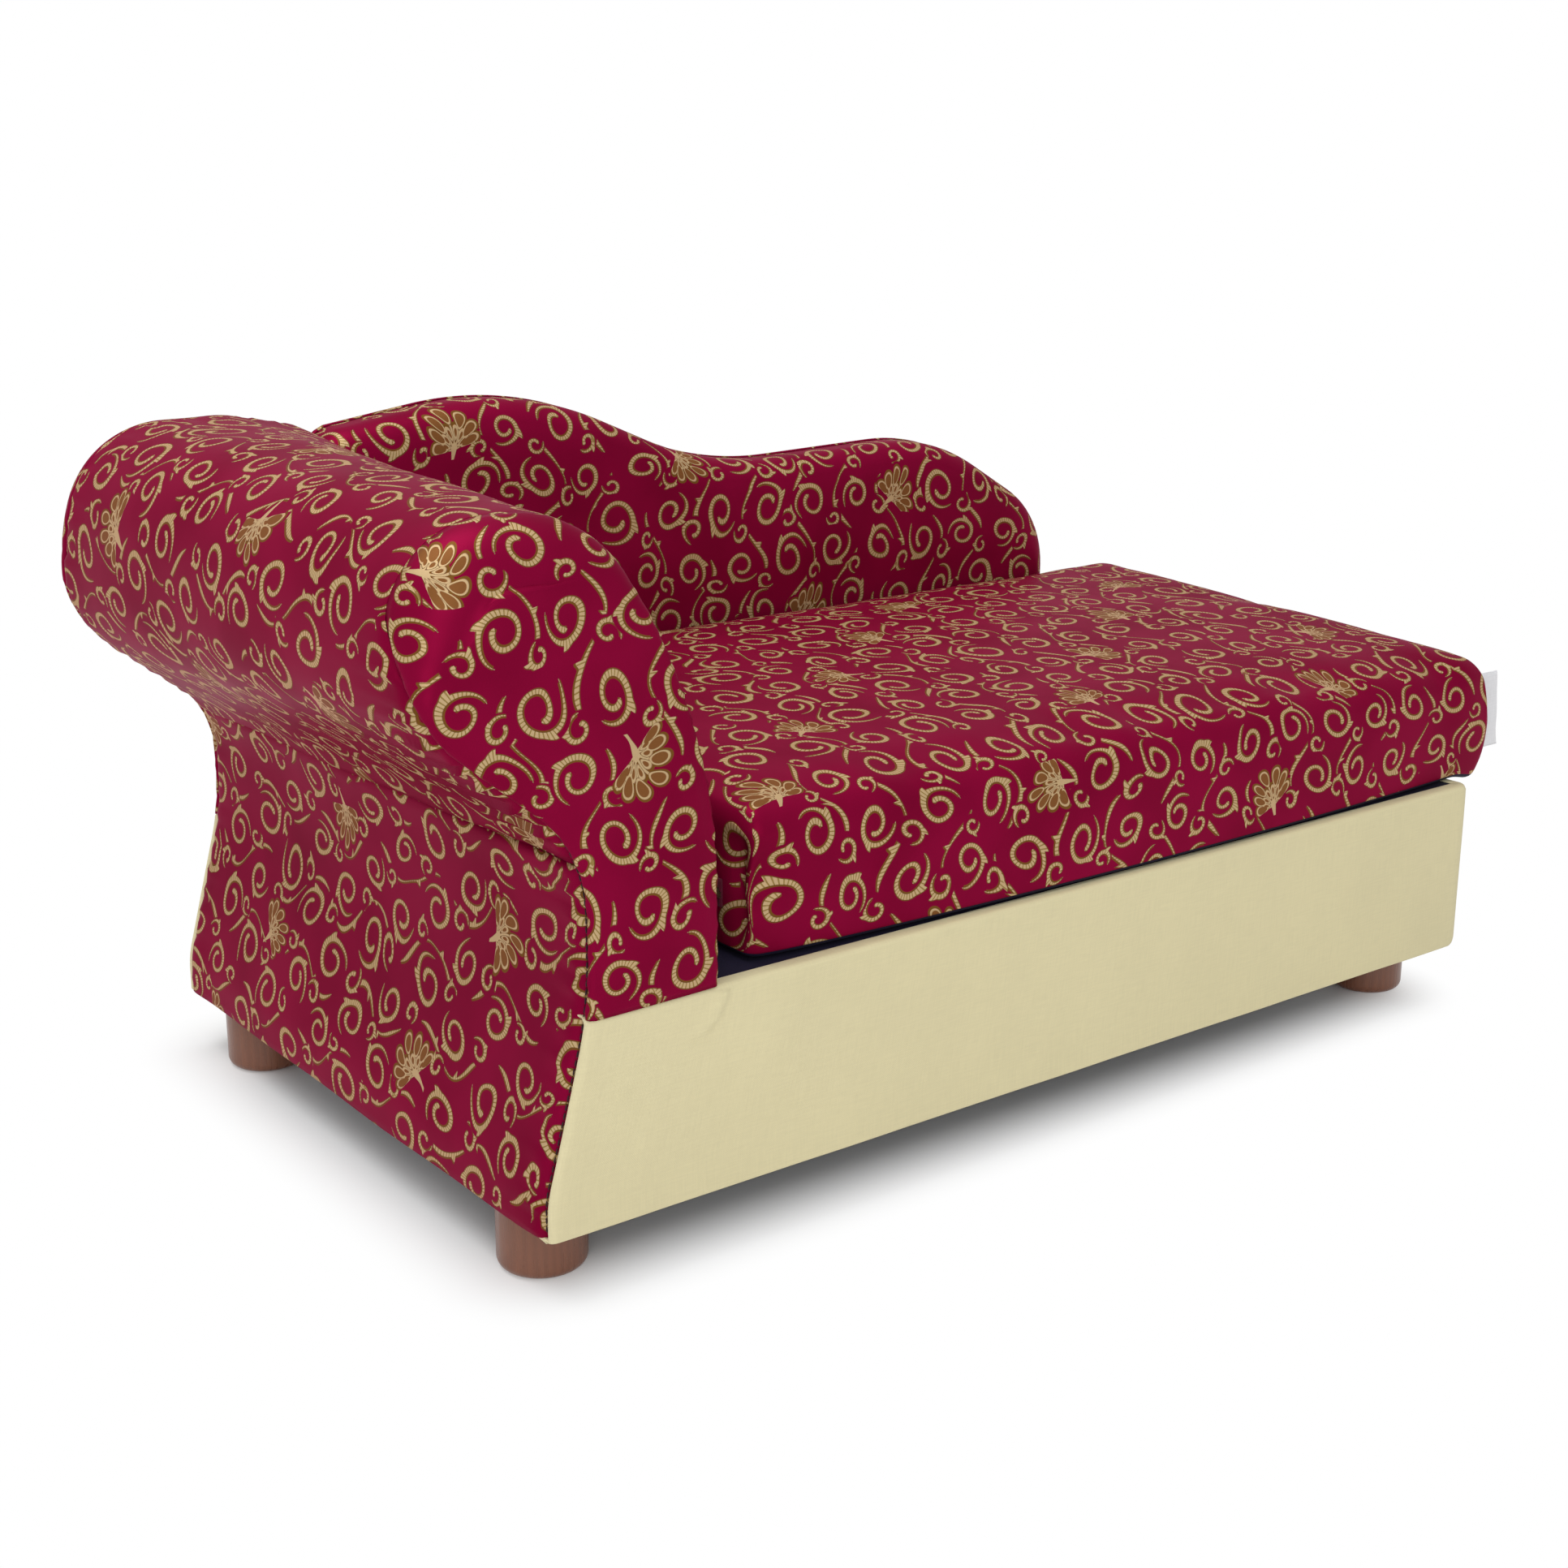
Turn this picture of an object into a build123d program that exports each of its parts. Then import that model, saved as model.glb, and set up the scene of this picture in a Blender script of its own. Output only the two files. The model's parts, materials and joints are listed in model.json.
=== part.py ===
"""Pet chaise lounge: a low cloth-covered base on four turned feet, a scroll arm at the head end,
a padded backrest with a waved top, and a loose zipped cushion."""

from build123d import *
from math import radians, tan
import os

os.makedirs("parts", exist_ok=True)

# Overall sizes, in millimetres, x from the head end to the foot end and y from front to back
base_length = 752.0
base_depth = 460.0
base_height = 117.0
foot_height = 41.0
arm_width = 112.8
arm_height = 374.0
arm_back_height = 381.0
roll_reach = 62.0
back_thickness = 54.0
back_end_gap = 15.0

# Stock thicknesses and the fits between pieces
cloth = 1.2
foam = 8.0
hardboard = 3.0
rail = 18.0
ply = 15.0
deck_ply = 9.0
lining = 0.8
seat_gap = 0.3
overrun = 20.0

# Arm scroll: corners and how far each is rounded into its shorter run, front section and back section
heel_height = 22.0
neck_depth = 28.0
neck_low_share = 0.33
neck_high_share = 0.548
roll_low_share = 0.751
front_brow_share = 0.363
front_shoulder_shares = (0.78, 0.798)
front_elbow_share = 0.567
back_brow_share = 0.40
back_shoulder_shares = (0.94, 0.969)
back_elbow_share = 0.787
outer_round_shares = (0.19, 0.33, 0.42, 0.30, 0.62)
front_round_shares = (0.38, 0.52, 0.42)
back_round_shares = (0.19, 0.22, 0.085)

# Backrest wave: heights above the base's lower edge, places along its own length as shares
wave_start_height = 367.0
wave_crest_height = 387.8
wave_dip_height = 318.9
wave_tail_height = 326.3
wave_end_height = 256.5
wave_crest_share = 0.2166
wave_dip_share = 0.4726
wave_tail_share = 0.8115
wave_round_shares = (0.525, 0.36, 0.355, 0.31)
back_edge_radius = 20.0
back_top_foam = 10.0

# Base
base_corner_radius = 9.0
head_rail_inset = 40.0
cross_rail_shares = (0.40, 0.70)
batten_width = 20.0
batten_height = 30.0
block_length = 62.0
block_width = 66.0
block_height = 22.0
block_head_inset = 14.0
lining_inset = 8.0
lining_head_inset = 15.0
arm_batten_shares = ((0.70, 0.01), (0.375, 0.29), (-0.34, 0.71), (0.09, 0.80))

# Feet and their fixings
foot_diameter = 50.0
foot_head_inset = 31.0
foot_end_inset = 25.0
foot_side_inset = 56.0
foot_edge_radius = 6.0
foot_top_chamfer = 1.5
bolt_diameter = 8.0
bolt_in_foot = 26.0
bolt_in_block = 18.0
insert_diameter = 10.0
insert_length = 15.0

# Screws and joining bolts
screw_diameter = 4.5
screw_head_diameter = 9.0
screw_head_height = 2.6
screw_length = 30.0
screw_height = 45.0
deck_screw_length = 25.0
arm_screw_shares = (0.27, 0.73)
back_screw_shares = (0.06, 0.23, 0.40, 0.57, 0.74, 0.91)
deck_screw_shares = (0.20, 0.47, 0.67, 0.93)
joint_bolt_diameter = 6.0
joint_bolt_head_diameter = 14.0
joint_bolt_head_height = 3.0
joint_bolt_shares = (0.226, 0.556)
post_width = 30.0
post_depth = 15.0
post_shares = (0.148, 0.654)
arm_post_gap = 7.0

# Cushion
cushion_start = 140.7
cushion_overhang = 32.0
cushion_front_inset = 16.5
cushion_clearance = 0.6
cushion_front_height = 84.0
cushion_back_height = 93.0
cushion_fall = 9.0
cushion_crown = 7.0
cushion_rise = 4.0
cushion_end_draw = 9.0
cushion_end_drop = 8.0
cushion_waist = 3.0
cushion_shoulder = 24.0
cushion_end_shares = ((0.15, 0.55), (0.45, 0.20), (1.0, 0))
cushion_waist_shares = ((0.16, 0.50), (0.32, 0.87))
cushion_side_bulge = 4.0
cushion_top_radius = 15.0
cushion_side_radius = 110.0
cushion_crown_radius = 2400.0
cushion_bottom_radius = 6.0
cushion_base_lip = 5.0

# Side tab sewn in the cushion's front corner
tab_width = 21.0
tab_height = 55.0
tab_thickness = 1.0
tab_low = 14.0
tab_root = 14.0
tab_front_inset = 9.0

# Cushion zip
zip_front_inset = 24.0
zip_back_inset = 45.0
zip_height = 34.0
zip_tape_width = 16.0
zip_chain_width = 5.0
zip_chain_thickness = 1.6
zip_clearance = 0.2
slider_length = 11.0
slider_width = 9.0
slider_plate = 1.0
slider_start = 3.0
slider_corner_radius = 2.0
bridge_length = 7.0
bridge_width = 2.4
bridge_bar = 1.0
bridge_window = 1.6
pull_length = 16.0
pull_width = 6.0
pull_thickness = 1.0
pull_end_radius = 2.5
pull_hole_margin = 1.0

# Places that follow from the sizes above, in the base's own frame
rail_height = base_height - cloth - deck_ply
front_rail_back = cloth + rail
arm_front_panel_back = front_rail_back + ply
rear_rail_front = base_depth - cloth - rail
rear_panel_front = rear_rail_front - ply
back_front = base_depth - back_thickness
back_end = base_length - back_end_gap
back_length = back_end - arm_width
wrap = cloth + foam + hardboard
neck_split = (neck_low_share + neck_high_share) / 2 * arm_height
cushion_end = base_length + cushion_overhang
cushion_back = back_front - cushion_clearance
cushion_low = base_height + seat_gap
overall_length = roll_reach + cushion_end + tab_width
arm_rise = arm_height - base_height
joint_bolt_heights = [base_height + share * arm_rise for share in joint_bolt_shares]
post_heights = [base_height + share * arm_rise for share in post_shares]
foot_rail_start = base_length - cloth - rail
foot_places = {
    "foot_head_front": (foot_head_inset, foot_side_inset),
    "foot_head_back": (foot_head_inset, base_depth - foot_side_inset),
    "foot_end_front": (base_length - foot_end_inset, foot_side_inset),
    "foot_end_back": (base_length - foot_end_inset, base_depth - foot_side_inset),
}

# The part's origin is on the floor, under the middle of its overall box
corner = (roll_reach - overall_length / 2, -base_depth / 2, foot_height)
level = Plane(origin=corner)
face = Plane(origin=corner, x_dir=(1, 0, 0), z_dir=(0, -1, 0))
end = Plane(origin=corner, x_dir=(0, 1, 0), z_dir=(1, 0, 0))


def block(x, y, z, mode=Mode.ADD):
    """A square block between pairs of sizes along x, y and z."""
    with BuildSketch(level.offset(z[0])) as plan:
        with Locations(((x[0] + x[1]) / 2, (y[0] + y[1]) / 2)):
            Rectangle(x[1] - x[0], y[1] - y[0])
    extrude(plan.sketch, amount=z[1] - z[0], mode=mode)


def save(builder, name):
    """Labels a finished piece and writes it."""
    builder.part.label = name
    export_step(builder.part, f"parts/{name}.step")


def roundings(corners, round_shares):
    """Radii that take their shares of the shorter run beside each inner corner."""
    radii = []
    for before, here, after, share in zip(corners, corners[1:], corners[2:], round_shares):
        come = Vector(here) - Vector(before)
        go = Vector(after) - Vector(here)
        turn = radians(come.get_angle(go))
        radii.append(share * min(come.length, go.length) / tan(turn / 2))
    return radii


def scroll(height, brow_share, shoulder_shares, elbow_share):
    """Corners of the arm's scroll section, from the outer foot over the roll to the inner foot."""
    return [
        (0, -overrun),
        (0, heel_height),
        (neck_depth, neck_low_share * height),
        (neck_depth, neck_high_share * height),
        (-roll_reach, roll_low_share * height),
        (-roll_reach, height),
        (brow_share * arm_width, height),
        (shoulder_shares[0] * arm_width, shoulder_shares[1] * height),
        (arm_width, elbow_share * height),
        (arm_width, -overrun),
    ]


def arm_block(inset):
    """The whole arm as one lofted block, drawn in by inset all round its section."""
    front = scroll(arm_height, front_brow_share, front_shoulder_shares, front_elbow_share)
    back = scroll(arm_back_height, back_brow_share, back_shoulder_shares, back_elbow_share)
    sections = ((0, front, front_round_shares), (base_depth, back, back_round_shares))
    with BuildPart() as arm:
        for y, corners, inner_round_shares in sections:
            radii = roundings(corners, outer_round_shares + inner_round_shares)
            with BuildSketch(face.offset(-y)):
                with BuildLine():
                    FilletPolyline(*corners, radius=radii)
                    Line(corners[-1], corners[0])
                make_face()
                if inset:
                    offset(amount=-inset, kind=Kind.INTERSECTION, mode=Mode.REPLACE)
        loft(ruled=True)
    return arm.part


arm_outer = arm_block(0)
arm_lined = arm_block(cloth)
arm_padded = arm_block(cloth + foam)
arm_core = arm_block(wrap)
high = arm_back_height + overrun


def arm_slice(solid, y, z_low, cuts=()):
    """A slice of one arm block between two depths, above z_low."""
    with BuildPart() as piece:
        add(solid)
        block((-roll_reach - overrun, arm_width + overrun), y, (z_low, high), mode=Mode.INTERSECT)
        for cut in cuts:
            add(cut.part, mode=Mode.SUBTRACT)
    return piece


def arm_ring(outside, inside, y, z, cuts=()):
    """The layer between two arm blocks: up the outer side, over the roll and down to the deck."""
    with BuildPart() as ring:
        add(outside)
        add(inside, mode=Mode.SUBTRACT)
        block((-roll_reach - overrun, arm_width + overrun), y, (0, high), mode=Mode.INTERSECT)
        inner_side = (arm_width / 2, arm_width + overrun)
        depth = (-overrun, base_depth + overrun)
        block(inner_side, depth, (-overrun, base_height), mode=Mode.SUBTRACT)
        outer_side = (-roll_reach - overrun, arm_width / 2)
        if z[0] > 0:
            block(outer_side, depth, (-overrun, z[0]), mode=Mode.SUBTRACT)
        if z[1] < high:
            block((-roll_reach - overrun, arm_width + overrun), depth, (z[1], high), mode=Mode.SUBTRACT)
            block(inner_side, depth, (-overrun, high), mode=Mode.SUBTRACT)
        for cut in cuts:
            add(cut.part, mode=Mode.SUBTRACT)
    return ring


# Screws and bolts, made first because the pieces they hold are bored with them
deck_top = base_height - cloth
frame_end = base_length - cloth
batten_front = rear_panel_front - batten_width
arm_screw_places = [(share * arm_width, screw_height) for share in arm_screw_shares]
back_screw_places = [(arm_width + share * back_length, screw_height) for share in back_screw_shares]
deck_screw_rows = (front_rail_back - rail / 2, batten_front + batten_width / 2)
deck_screw_places = [(share * base_length, y) for y in deck_screw_rows for share in deck_screw_shares]


def screws(plane, places, length):
    """A set of screws whose heads are flush with a plane, running in by a signed length."""
    head = screw_head_height if length > 0 else -screw_head_height
    for diameter, reach in ((screw_diameter, length), (screw_head_diameter, head)):
        with BuildSketch(plane) as rounds:
            with Locations(*places):
                Circle(diameter / 2)
        extrude(rounds.sketch, amount=reach)


with BuildPart() as arm_screws:
    screws(face.offset(-arm_front_panel_back), arm_screw_places, screw_length)
    screws(face.offset(-rear_panel_front), arm_screw_places, -screw_length)
save(arm_screws, "arm_screws")

with BuildPart() as back_screws:
    screws(face.offset(-rear_panel_front), back_screw_places, -screw_length)
save(back_screws, "back_screws")

with BuildPart() as deck_screws:
    screws(level.offset(deck_top), deck_screw_places, -deck_screw_length)
save(deck_screws, "deck_screws")

joint_bolt_y = rear_panel_front - post_depth / 2
back_post_start = arm_width + cloth
back_post_end = back_post_start + post_width
arm_post_end = arm_width - wrap - arm_post_gap
arm_post_start = arm_post_end - post_width
with BuildPart() as joining_bolts:
    for diameter, low, high_x in (
        (joint_bolt_diameter, arm_post_start - joint_bolt_head_height, back_post_end),
        (joint_bolt_head_diameter, arm_post_start - joint_bolt_head_height, arm_post_start),
    ):
        with BuildSketch(end.offset(low)):
            with Locations(*[(joint_bolt_y, z) for z in joint_bolt_heights]):
                Circle(diameter / 2)
        extrude(amount=high_x - low)
save(joining_bolts, "joining_bolts")

# Feet, each held by a double-ended bolt that screws into an insert in its corner block
with BuildPart() as foot_bolts:
    with BuildSketch(level.offset(-bolt_in_foot)):
        with Locations(*foot_places.values()):
            Circle(bolt_diameter / 2)
    extrude(amount=bolt_in_foot + bolt_in_block)
save(foot_bolts, "foot_bolts")

with BuildPart() as foot_inserts:
    with BuildSketch(level):
        with Locations(*foot_places.values()):
            Circle(insert_diameter / 2)
            Circle(bolt_diameter / 2, mode=Mode.SUBTRACT)
    extrude(amount=insert_length)
save(foot_inserts, "foot_inserts")

for name, place in foot_places.items():
    with BuildPart() as foot:
        with BuildSketch(level.offset(-foot_height)):
            with Locations(place):
                Circle(foot_diameter / 2)
        extrude(amount=foot_height)
        fillet(foot.edges().group_by(Axis.Z)[0], foot_edge_radius)
        chamfer(foot.edges().group_by(Axis.Z)[-1], foot_top_chamfer)
        add(foot_bolts.part, mode=Mode.SUBTRACT)
    save(foot, name)

with BuildPart() as corner_blocks:
    for x in ((block_head_inset, head_rail_inset), (foot_rail_start - block_length, foot_rail_start)):
        front = arm_front_panel_back if x[0] < head_rail_inset else front_rail_back
        block(x, (front, front + block_width), (0, block_height))
        block(x, (rear_panel_front - block_width, rear_panel_front), (0, block_height))
    for bores in (foot_bolts, foot_inserts):
        add(bores.part, mode=Mode.SUBTRACT)
save(corner_blocks, "corner_blocks")

# Base frame; at the head end the long pieces are cut back to the arm's padding or cloth
head_zone = (-roll_reach - overrun, arm_width / 2)
full_depth = (-overrun, base_depth + overrun)
with BuildPart() as beyond_pads:
    block(head_zone, full_depth, (-overrun, base_height + overrun))
    add(arm_padded, mode=Mode.SUBTRACT)
with BuildPart() as beyond_cloth:
    block(head_zone, full_depth, (-overrun, base_height + overrun))
    add(arm_lined, mode=Mode.SUBTRACT)


def round_foot_end(piece, radius, ends=(0, -1)):
    """Rounds the upright corners at the foot end, at the front and back or one of them."""
    uprights = piece.edges().filter_by(Axis.Z).group_by(Axis.X)[-1].sort_by(Axis.Y)
    fillet([uprights[n] for n in ends], radius)


with BuildPart() as base_front_rail:
    block((0, frame_end), (cloth, front_rail_back), (0, rail_height))
    round_foot_end(base_front_rail, base_corner_radius - cloth, (0,))
    for cut in (beyond_pads, arm_screws, deck_screws):
        add(cut.part, mode=Mode.SUBTRACT)
save(base_front_rail, "base_front_rail")

with BuildPart() as base_rear_rail:
    block((0, frame_end), (rear_rail_front, base_depth - cloth), (0, base_height))
    round_foot_end(base_rear_rail, base_corner_radius - cloth, (-1,))
    for cut in (beyond_pads, arm_screws, back_screws):
        add(cut.part, mode=Mode.SUBTRACT)
save(base_rear_rail, "base_rear_rail")

with BuildPart() as base_head_rail:
    x = (head_rail_inset, head_rail_inset + rail)
    block(x, (arm_front_panel_back, rear_panel_front), (0, rail_height))
save(base_head_rail, "base_head_rail")

with BuildPart() as base_foot_rail:
    block((foot_rail_start, frame_end), (front_rail_back, rear_rail_front), (0, rail_height))
save(base_foot_rail, "base_foot_rail")

with BuildPart() as base_cross_rails:
    for share in cross_rail_shares:
        x = share * base_length
        block((x, x + rail), (front_rail_back, batten_front), (0, rail_height))
save(base_cross_rails, "base_cross_rails")

with BuildPart() as deck_rear_batten:
    x = (head_rail_inset + rail, foot_rail_start)
    block(x, (batten_front, rear_panel_front), (rail_height - batten_width, rail_height))
    add(deck_screws.part, mode=Mode.SUBTRACT)
save(deck_rear_batten, "deck_rear_batten")

for name, x, z, cuts in (
    ("deck_board", head_rail_inset, (rail_height, deck_top), (deck_screws,)),
    ("deck_cloth", arm_width - wrap, (deck_top, base_height), ()),
):
    with BuildPart() as sheet:
        block((x, frame_end), (arm_front_panel_back, rear_panel_front), z)
        block((arm_width, frame_end), (cloth, arm_front_panel_back), z)
        round_foot_end(sheet, base_corner_radius - cloth, (0,))
        for cut in cuts:
            add(cut.part, mode=Mode.SUBTRACT)
    save(sheet, name)

with BuildPart() as hollow:
    block((-overrun, frame_end), (cloth, base_depth - cloth), (0, base_height))
    round_foot_end(hollow, base_corner_radius - cloth)
with BuildPart() as base_cover:
    block((0, base_length), (0, base_depth), (0, base_height))
    round_foot_end(base_cover, base_corner_radius)
    for cut in (hollow, beyond_cloth):
        add(cut.part, mode=Mode.SUBTRACT)
save(base_cover, "base_cover")

with BuildPart() as dust_cover:
    x = (lining_head_inset, base_length - lining_inset)
    block(x, (lining_inset, base_depth - lining_inset), (-lining, 0))
    with BuildSketch(level):
        with Locations(*foot_places.values()):
            Circle(foot_diameter / 2 + lining)
    extrude(amount=-lining, mode=Mode.SUBTRACT)
save(dust_cover, "dust_cover")

# Arm: two scroll panels joined by battens and boards, wrapped in foam and cloth
arm_front_panel = arm_slice(arm_core, (front_rail_back, arm_front_panel_back), 0, (arm_screws,))
save(arm_front_panel, "arm_front_panel")
arm_rear_panel = arm_slice(arm_core, (rear_panel_front, rear_rail_front), 0, (arm_screws,))
save(arm_rear_panel, "arm_rear_panel")
arm_face_foam = arm_slice(arm_padded, (cloth, front_rail_back), rail_height)
save(arm_face_foam, "arm_face_foam")
arm_rear_foam = arm_slice(arm_padded, (rear_rail_front, base_depth - cloth), base_height)
save(arm_rear_foam, "arm_rear_foam")
arm_front_cover = arm_slice(arm_lined, (0, cloth), base_height)
save(arm_front_cover, "arm_front_cover")
arm_rear_cover = arm_slice(arm_lined, (base_depth - cloth, base_depth), base_height)
save(arm_rear_cover, "arm_rear_cover")

with BuildPart() as arm_battens:
    for x_share, z_share in arm_batten_shares:
        x = x_share * arm_width
        z = base_height + z_share * arm_rise
        block((x, x + batten_width), (arm_front_panel_back, rear_panel_front), (z, z + batten_height))
save(arm_battens, "arm_battens")

with BuildPart() as arm_post:
    x = (arm_post_start, arm_post_end)
    block(x, (rear_panel_front - post_depth, rear_panel_front), post_heights)
    add(joining_bolts.part, mode=Mode.SUBTRACT)
save(arm_post, "arm_post")

bores = (joining_bolts,)
arm_wrap_foam = arm_ring(arm_lined, arm_padded, (cloth, base_depth - cloth), (0, high), bores)
save(arm_wrap_foam, "arm_wrap_foam")
board_depth = (front_rail_back, rear_rail_front)
arm_roll_board = arm_ring(arm_padded, arm_core, board_depth, (neck_split, high), bores)
save(arm_roll_board, "arm_roll_board")
arm_outer_board = arm_ring(arm_padded, arm_core, board_depth, (0, neck_split))
save(arm_outer_board, "arm_outer_board")
arm_roll_cover = arm_ring(arm_outer, arm_lined, (0, base_depth), (neck_split, high), bores)
save(arm_roll_cover, "arm_roll_cover")
arm_outer_cover = arm_ring(arm_outer, arm_lined, (0, base_depth), (0, neck_split))
save(arm_outer_cover, "arm_outer_cover")


# Backrest: one waved panel in foam, with a post that takes the joining bolts
wave_corners = (
    (0, wave_start_height),
    (wave_crest_share * back_length, wave_crest_height),
    (wave_dip_share * back_length, wave_dip_height),
    (wave_tail_share * back_length, wave_tail_height),
    (back_length, wave_end_height),
    (back_length, -overrun),
)
wave_radii = roundings(wave_corners, wave_round_shares)


def back_block(inset):
    """The padded backrest with its rounded top edges, drawn in by inset all round."""
    corners = [(arm_width + x, z) for x, z in wave_corners]
    with BuildPart() as body:
        with BuildSketch(face.offset(-back_front - inset)):
            with BuildLine():
                FilletPolyline(*corners, radius=wave_radii)
                Polyline(corners[-1], (arm_width, -overrun), corners[0])
            make_face()
            if inset:
                offset(amount=-inset, kind=Kind.INTERSECTION, mode=Mode.REPLACE)
        extrude(amount=-(back_thickness - 2 * inset))
        if inset < back_edge_radius:
            left = body.edges().group_by(Axis.X)[0]
            bottom = body.edges().group_by(Axis.Z)[0]
            fillet(body.faces().filter_by(Axis.Y).edges() - left - bottom, back_edge_radius - inset)
    return body.part


back_outer = back_block(0)
back_lined = back_block(cloth)
back_core = back_block(cloth + back_top_foam)
back_zone = (arm_width - overrun, base_length + overrun)
middle = back_front + back_thickness / 2

with BuildPart() as back_panel:
    add(back_core)
    block(back_zone, (rear_panel_front, rear_rail_front), (0, high), mode=Mode.INTERSECT)
    for cut in (back_screws, joining_bolts):
        add(cut.part, mode=Mode.SUBTRACT)
save(back_panel, "back_panel")

with BuildPart() as back_post:
    x = (back_post_start, back_post_end)
    block(x, (rear_panel_front - post_depth, rear_panel_front), post_heights)
    add(joining_bolts.part, mode=Mode.SUBTRACT)
save(back_post, "back_post")

with BuildPart() as back_padding:
    add(back_lined)
    block(back_zone, (back_front, base_depth), (base_height, high), mode=Mode.INTERSECT)
    for cut in (back_panel, back_post, joining_bolts):
        add(cut.part, mode=Mode.SUBTRACT)
save(back_padding, "back_padding")

for name, y in (
    ("back_front_cover", (back_front, middle)),
    ("back_rear_cover", (middle, base_depth)),
):
    with BuildPart() as cover:
        add(back_outer)
        add(back_lined, mode=Mode.SUBTRACT)
        block(back_zone, y, (base_height, high), mode=Mode.INTERSECT)
        add(joining_bolts.part, mode=Mode.SUBTRACT)
    save(cover, name)


# Cushion: crowned on top, its long sides drawn in between the corners
cushion_span = cushion_end - cushion_start


def cushion_corners(share, draw, drop, inset):
    """Corners of one upright section across the cushion, from the middle of its bottom and round."""
    front = cushion_front_inset + draw + inset
    back = cushion_back - draw - inset
    low = cushion_low + inset
    front_top = base_height + cushion_front_height - cushion_fall * share - drop - inset
    back_top = base_height + cushion_back_height - drop - inset
    half = (low + front_top) / 2
    middle = (front + back) / 2
    return [
        (middle, low),
        (back - cushion_side_bulge, low),
        (back, half),
        (back - cushion_side_bulge, back_top),
        (middle, (front_top + back_top) / 2 + cushion_crown),
        (front + cushion_side_bulge, front_top),
        (front, half),
        (front + cushion_side_bulge, low),
        ((front + middle) / 2, low),
    ]


def cushion_block(inset):
    """The cushion as one lofted block, drawn in by inset all round."""
    bottom = cushion_bottom_radius - inset
    top = cushion_top_radius - inset
    side = cushion_side_radius - inset
    radii = [bottom, side, top, cushion_crown_radius - inset, top, side, bottom]
    head_half = [(inset, cushion_end_draw, cushion_end_drop)]
    for run_share, draw_share in cushion_end_shares:
        draw = draw_share * cushion_end_draw
        head_half.append((run_share * cushion_shoulder, draw, draw_share * cushion_end_drop))
    for run_share, waist_share in cushion_waist_shares:
        rise = waist_share * cushion_rise
        head_half.append((run_share * cushion_span, waist_share * cushion_waist, -rise))
    foot_half = [(cushion_span - x, draw, drop) for x, draw, drop in reversed(head_half)]
    stations = head_half + [(cushion_span / 2, cushion_waist, -cushion_rise)] + foot_half
    with BuildPart() as cushion:
        for x, draw, drop in stations:
            corners = cushion_corners(x / cushion_span, draw, drop, inset)
            with BuildSketch(end.offset(cushion_start + x)):
                with BuildLine():
                    FilletPolyline(*corners, radius=radii)
                    Line(corners[-1], corners[0])
                make_face()
        loft(ruled=True)
    return cushion.part


cushion_outer = cushion_block(0)
cushion_lined = cushion_block(cloth)
cushion_zone = (cushion_start - overrun, cushion_end + overrun)
cushion_depth = (0, base_depth)
seam_height = cushion_low + cushion_base_lip
cushion_top = base_height + cushion_back_height + cushion_crown + overrun

tab_front = cushion_front_inset + tab_front_inset
with BuildPart() as cushion_tab:
    z = (base_height + tab_low, base_height + tab_low + tab_height)
    block((cushion_end - tab_root, cushion_end + tab_width), (tab_front, tab_front + tab_thickness), z)
save(cushion_tab, "cushion_tab")

# Zip in the cushion's head end, its slider at the front end
zip_front = cushion_front_inset + zip_front_inset
zip_back = cushion_back - zip_back_inset
zip_level = base_height + zip_height
with BuildPart() as zip_tape:
    z = (zip_level - zip_tape_width / 2, zip_level + zip_tape_width / 2)
    block((cushion_start, cushion_start + cloth), (zip_front, zip_back), z)
save(zip_tape, "zip_tape")

chain_face = cushion_start - zip_chain_thickness
with BuildPart() as zip_chain:
    z = (zip_level - zip_chain_width / 2, zip_level + zip_chain_width / 2)
    block((chain_face, cushion_start), (zip_front, zip_back), z)
save(zip_chain, "zip_chain")

slider_front = zip_front + slider_start
slider_middle = slider_front + slider_length / 2
plate_face = chain_face - zip_clearance - slider_plate
bridge_face = plate_face - bridge_window - bridge_bar
with BuildPart() as zip_slider:
    y = (slider_front, slider_front + slider_length)
    z = (zip_level - slider_width / 2, zip_level + slider_width / 2)
    block((plate_face, cushion_start - zip_clearance), y, z)
    fillet(zip_slider.edges().filter_by(Axis.X), slider_corner_radius)
    half = zip_chain_width / 2 + zip_clearance
    z = (zip_level - half, zip_level + half)
    block((chain_face - zip_clearance, cushion_start), y, z, Mode.SUBTRACT)
    z = (zip_level - bridge_width / 2, zip_level + bridge_width / 2)
    y = (slider_middle - bridge_length / 2, slider_middle + bridge_length / 2)
    block((bridge_face, plate_face), y, z)
    y = (y[0] + bridge_bar, y[1] - bridge_bar)
    block((plate_face - bridge_window, plate_face), y, z, Mode.SUBTRACT)
save(zip_slider, "zip_slider")

# The pull's own end bar turns in the slider's bridge about an upright line
pull_axis = plate_face - bridge_window / 2
with BuildPart() as zip_pull:
    x = (pull_axis - pull_thickness / 2, pull_axis + pull_thickness / 2)
    y = (slider_middle - pull_thickness / 2, slider_middle + pull_length)
    z = (zip_level - pull_width / 2, zip_level + pull_width / 2)
    block(x, y, z)
    fillet(zip_pull.edges().filter_by(Axis.X).group_by(Axis.Y)[-1], pull_end_radius)
    half = bridge_width / 2 + zip_clearance
    y = (slider_middle + pull_thickness / 2, slider_middle + bridge_length / 2 + pull_hole_margin)
    block(x, y, (zip_level - half, zip_level + half), Mode.SUBTRACT)
save(zip_pull, "zip_pull")

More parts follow.
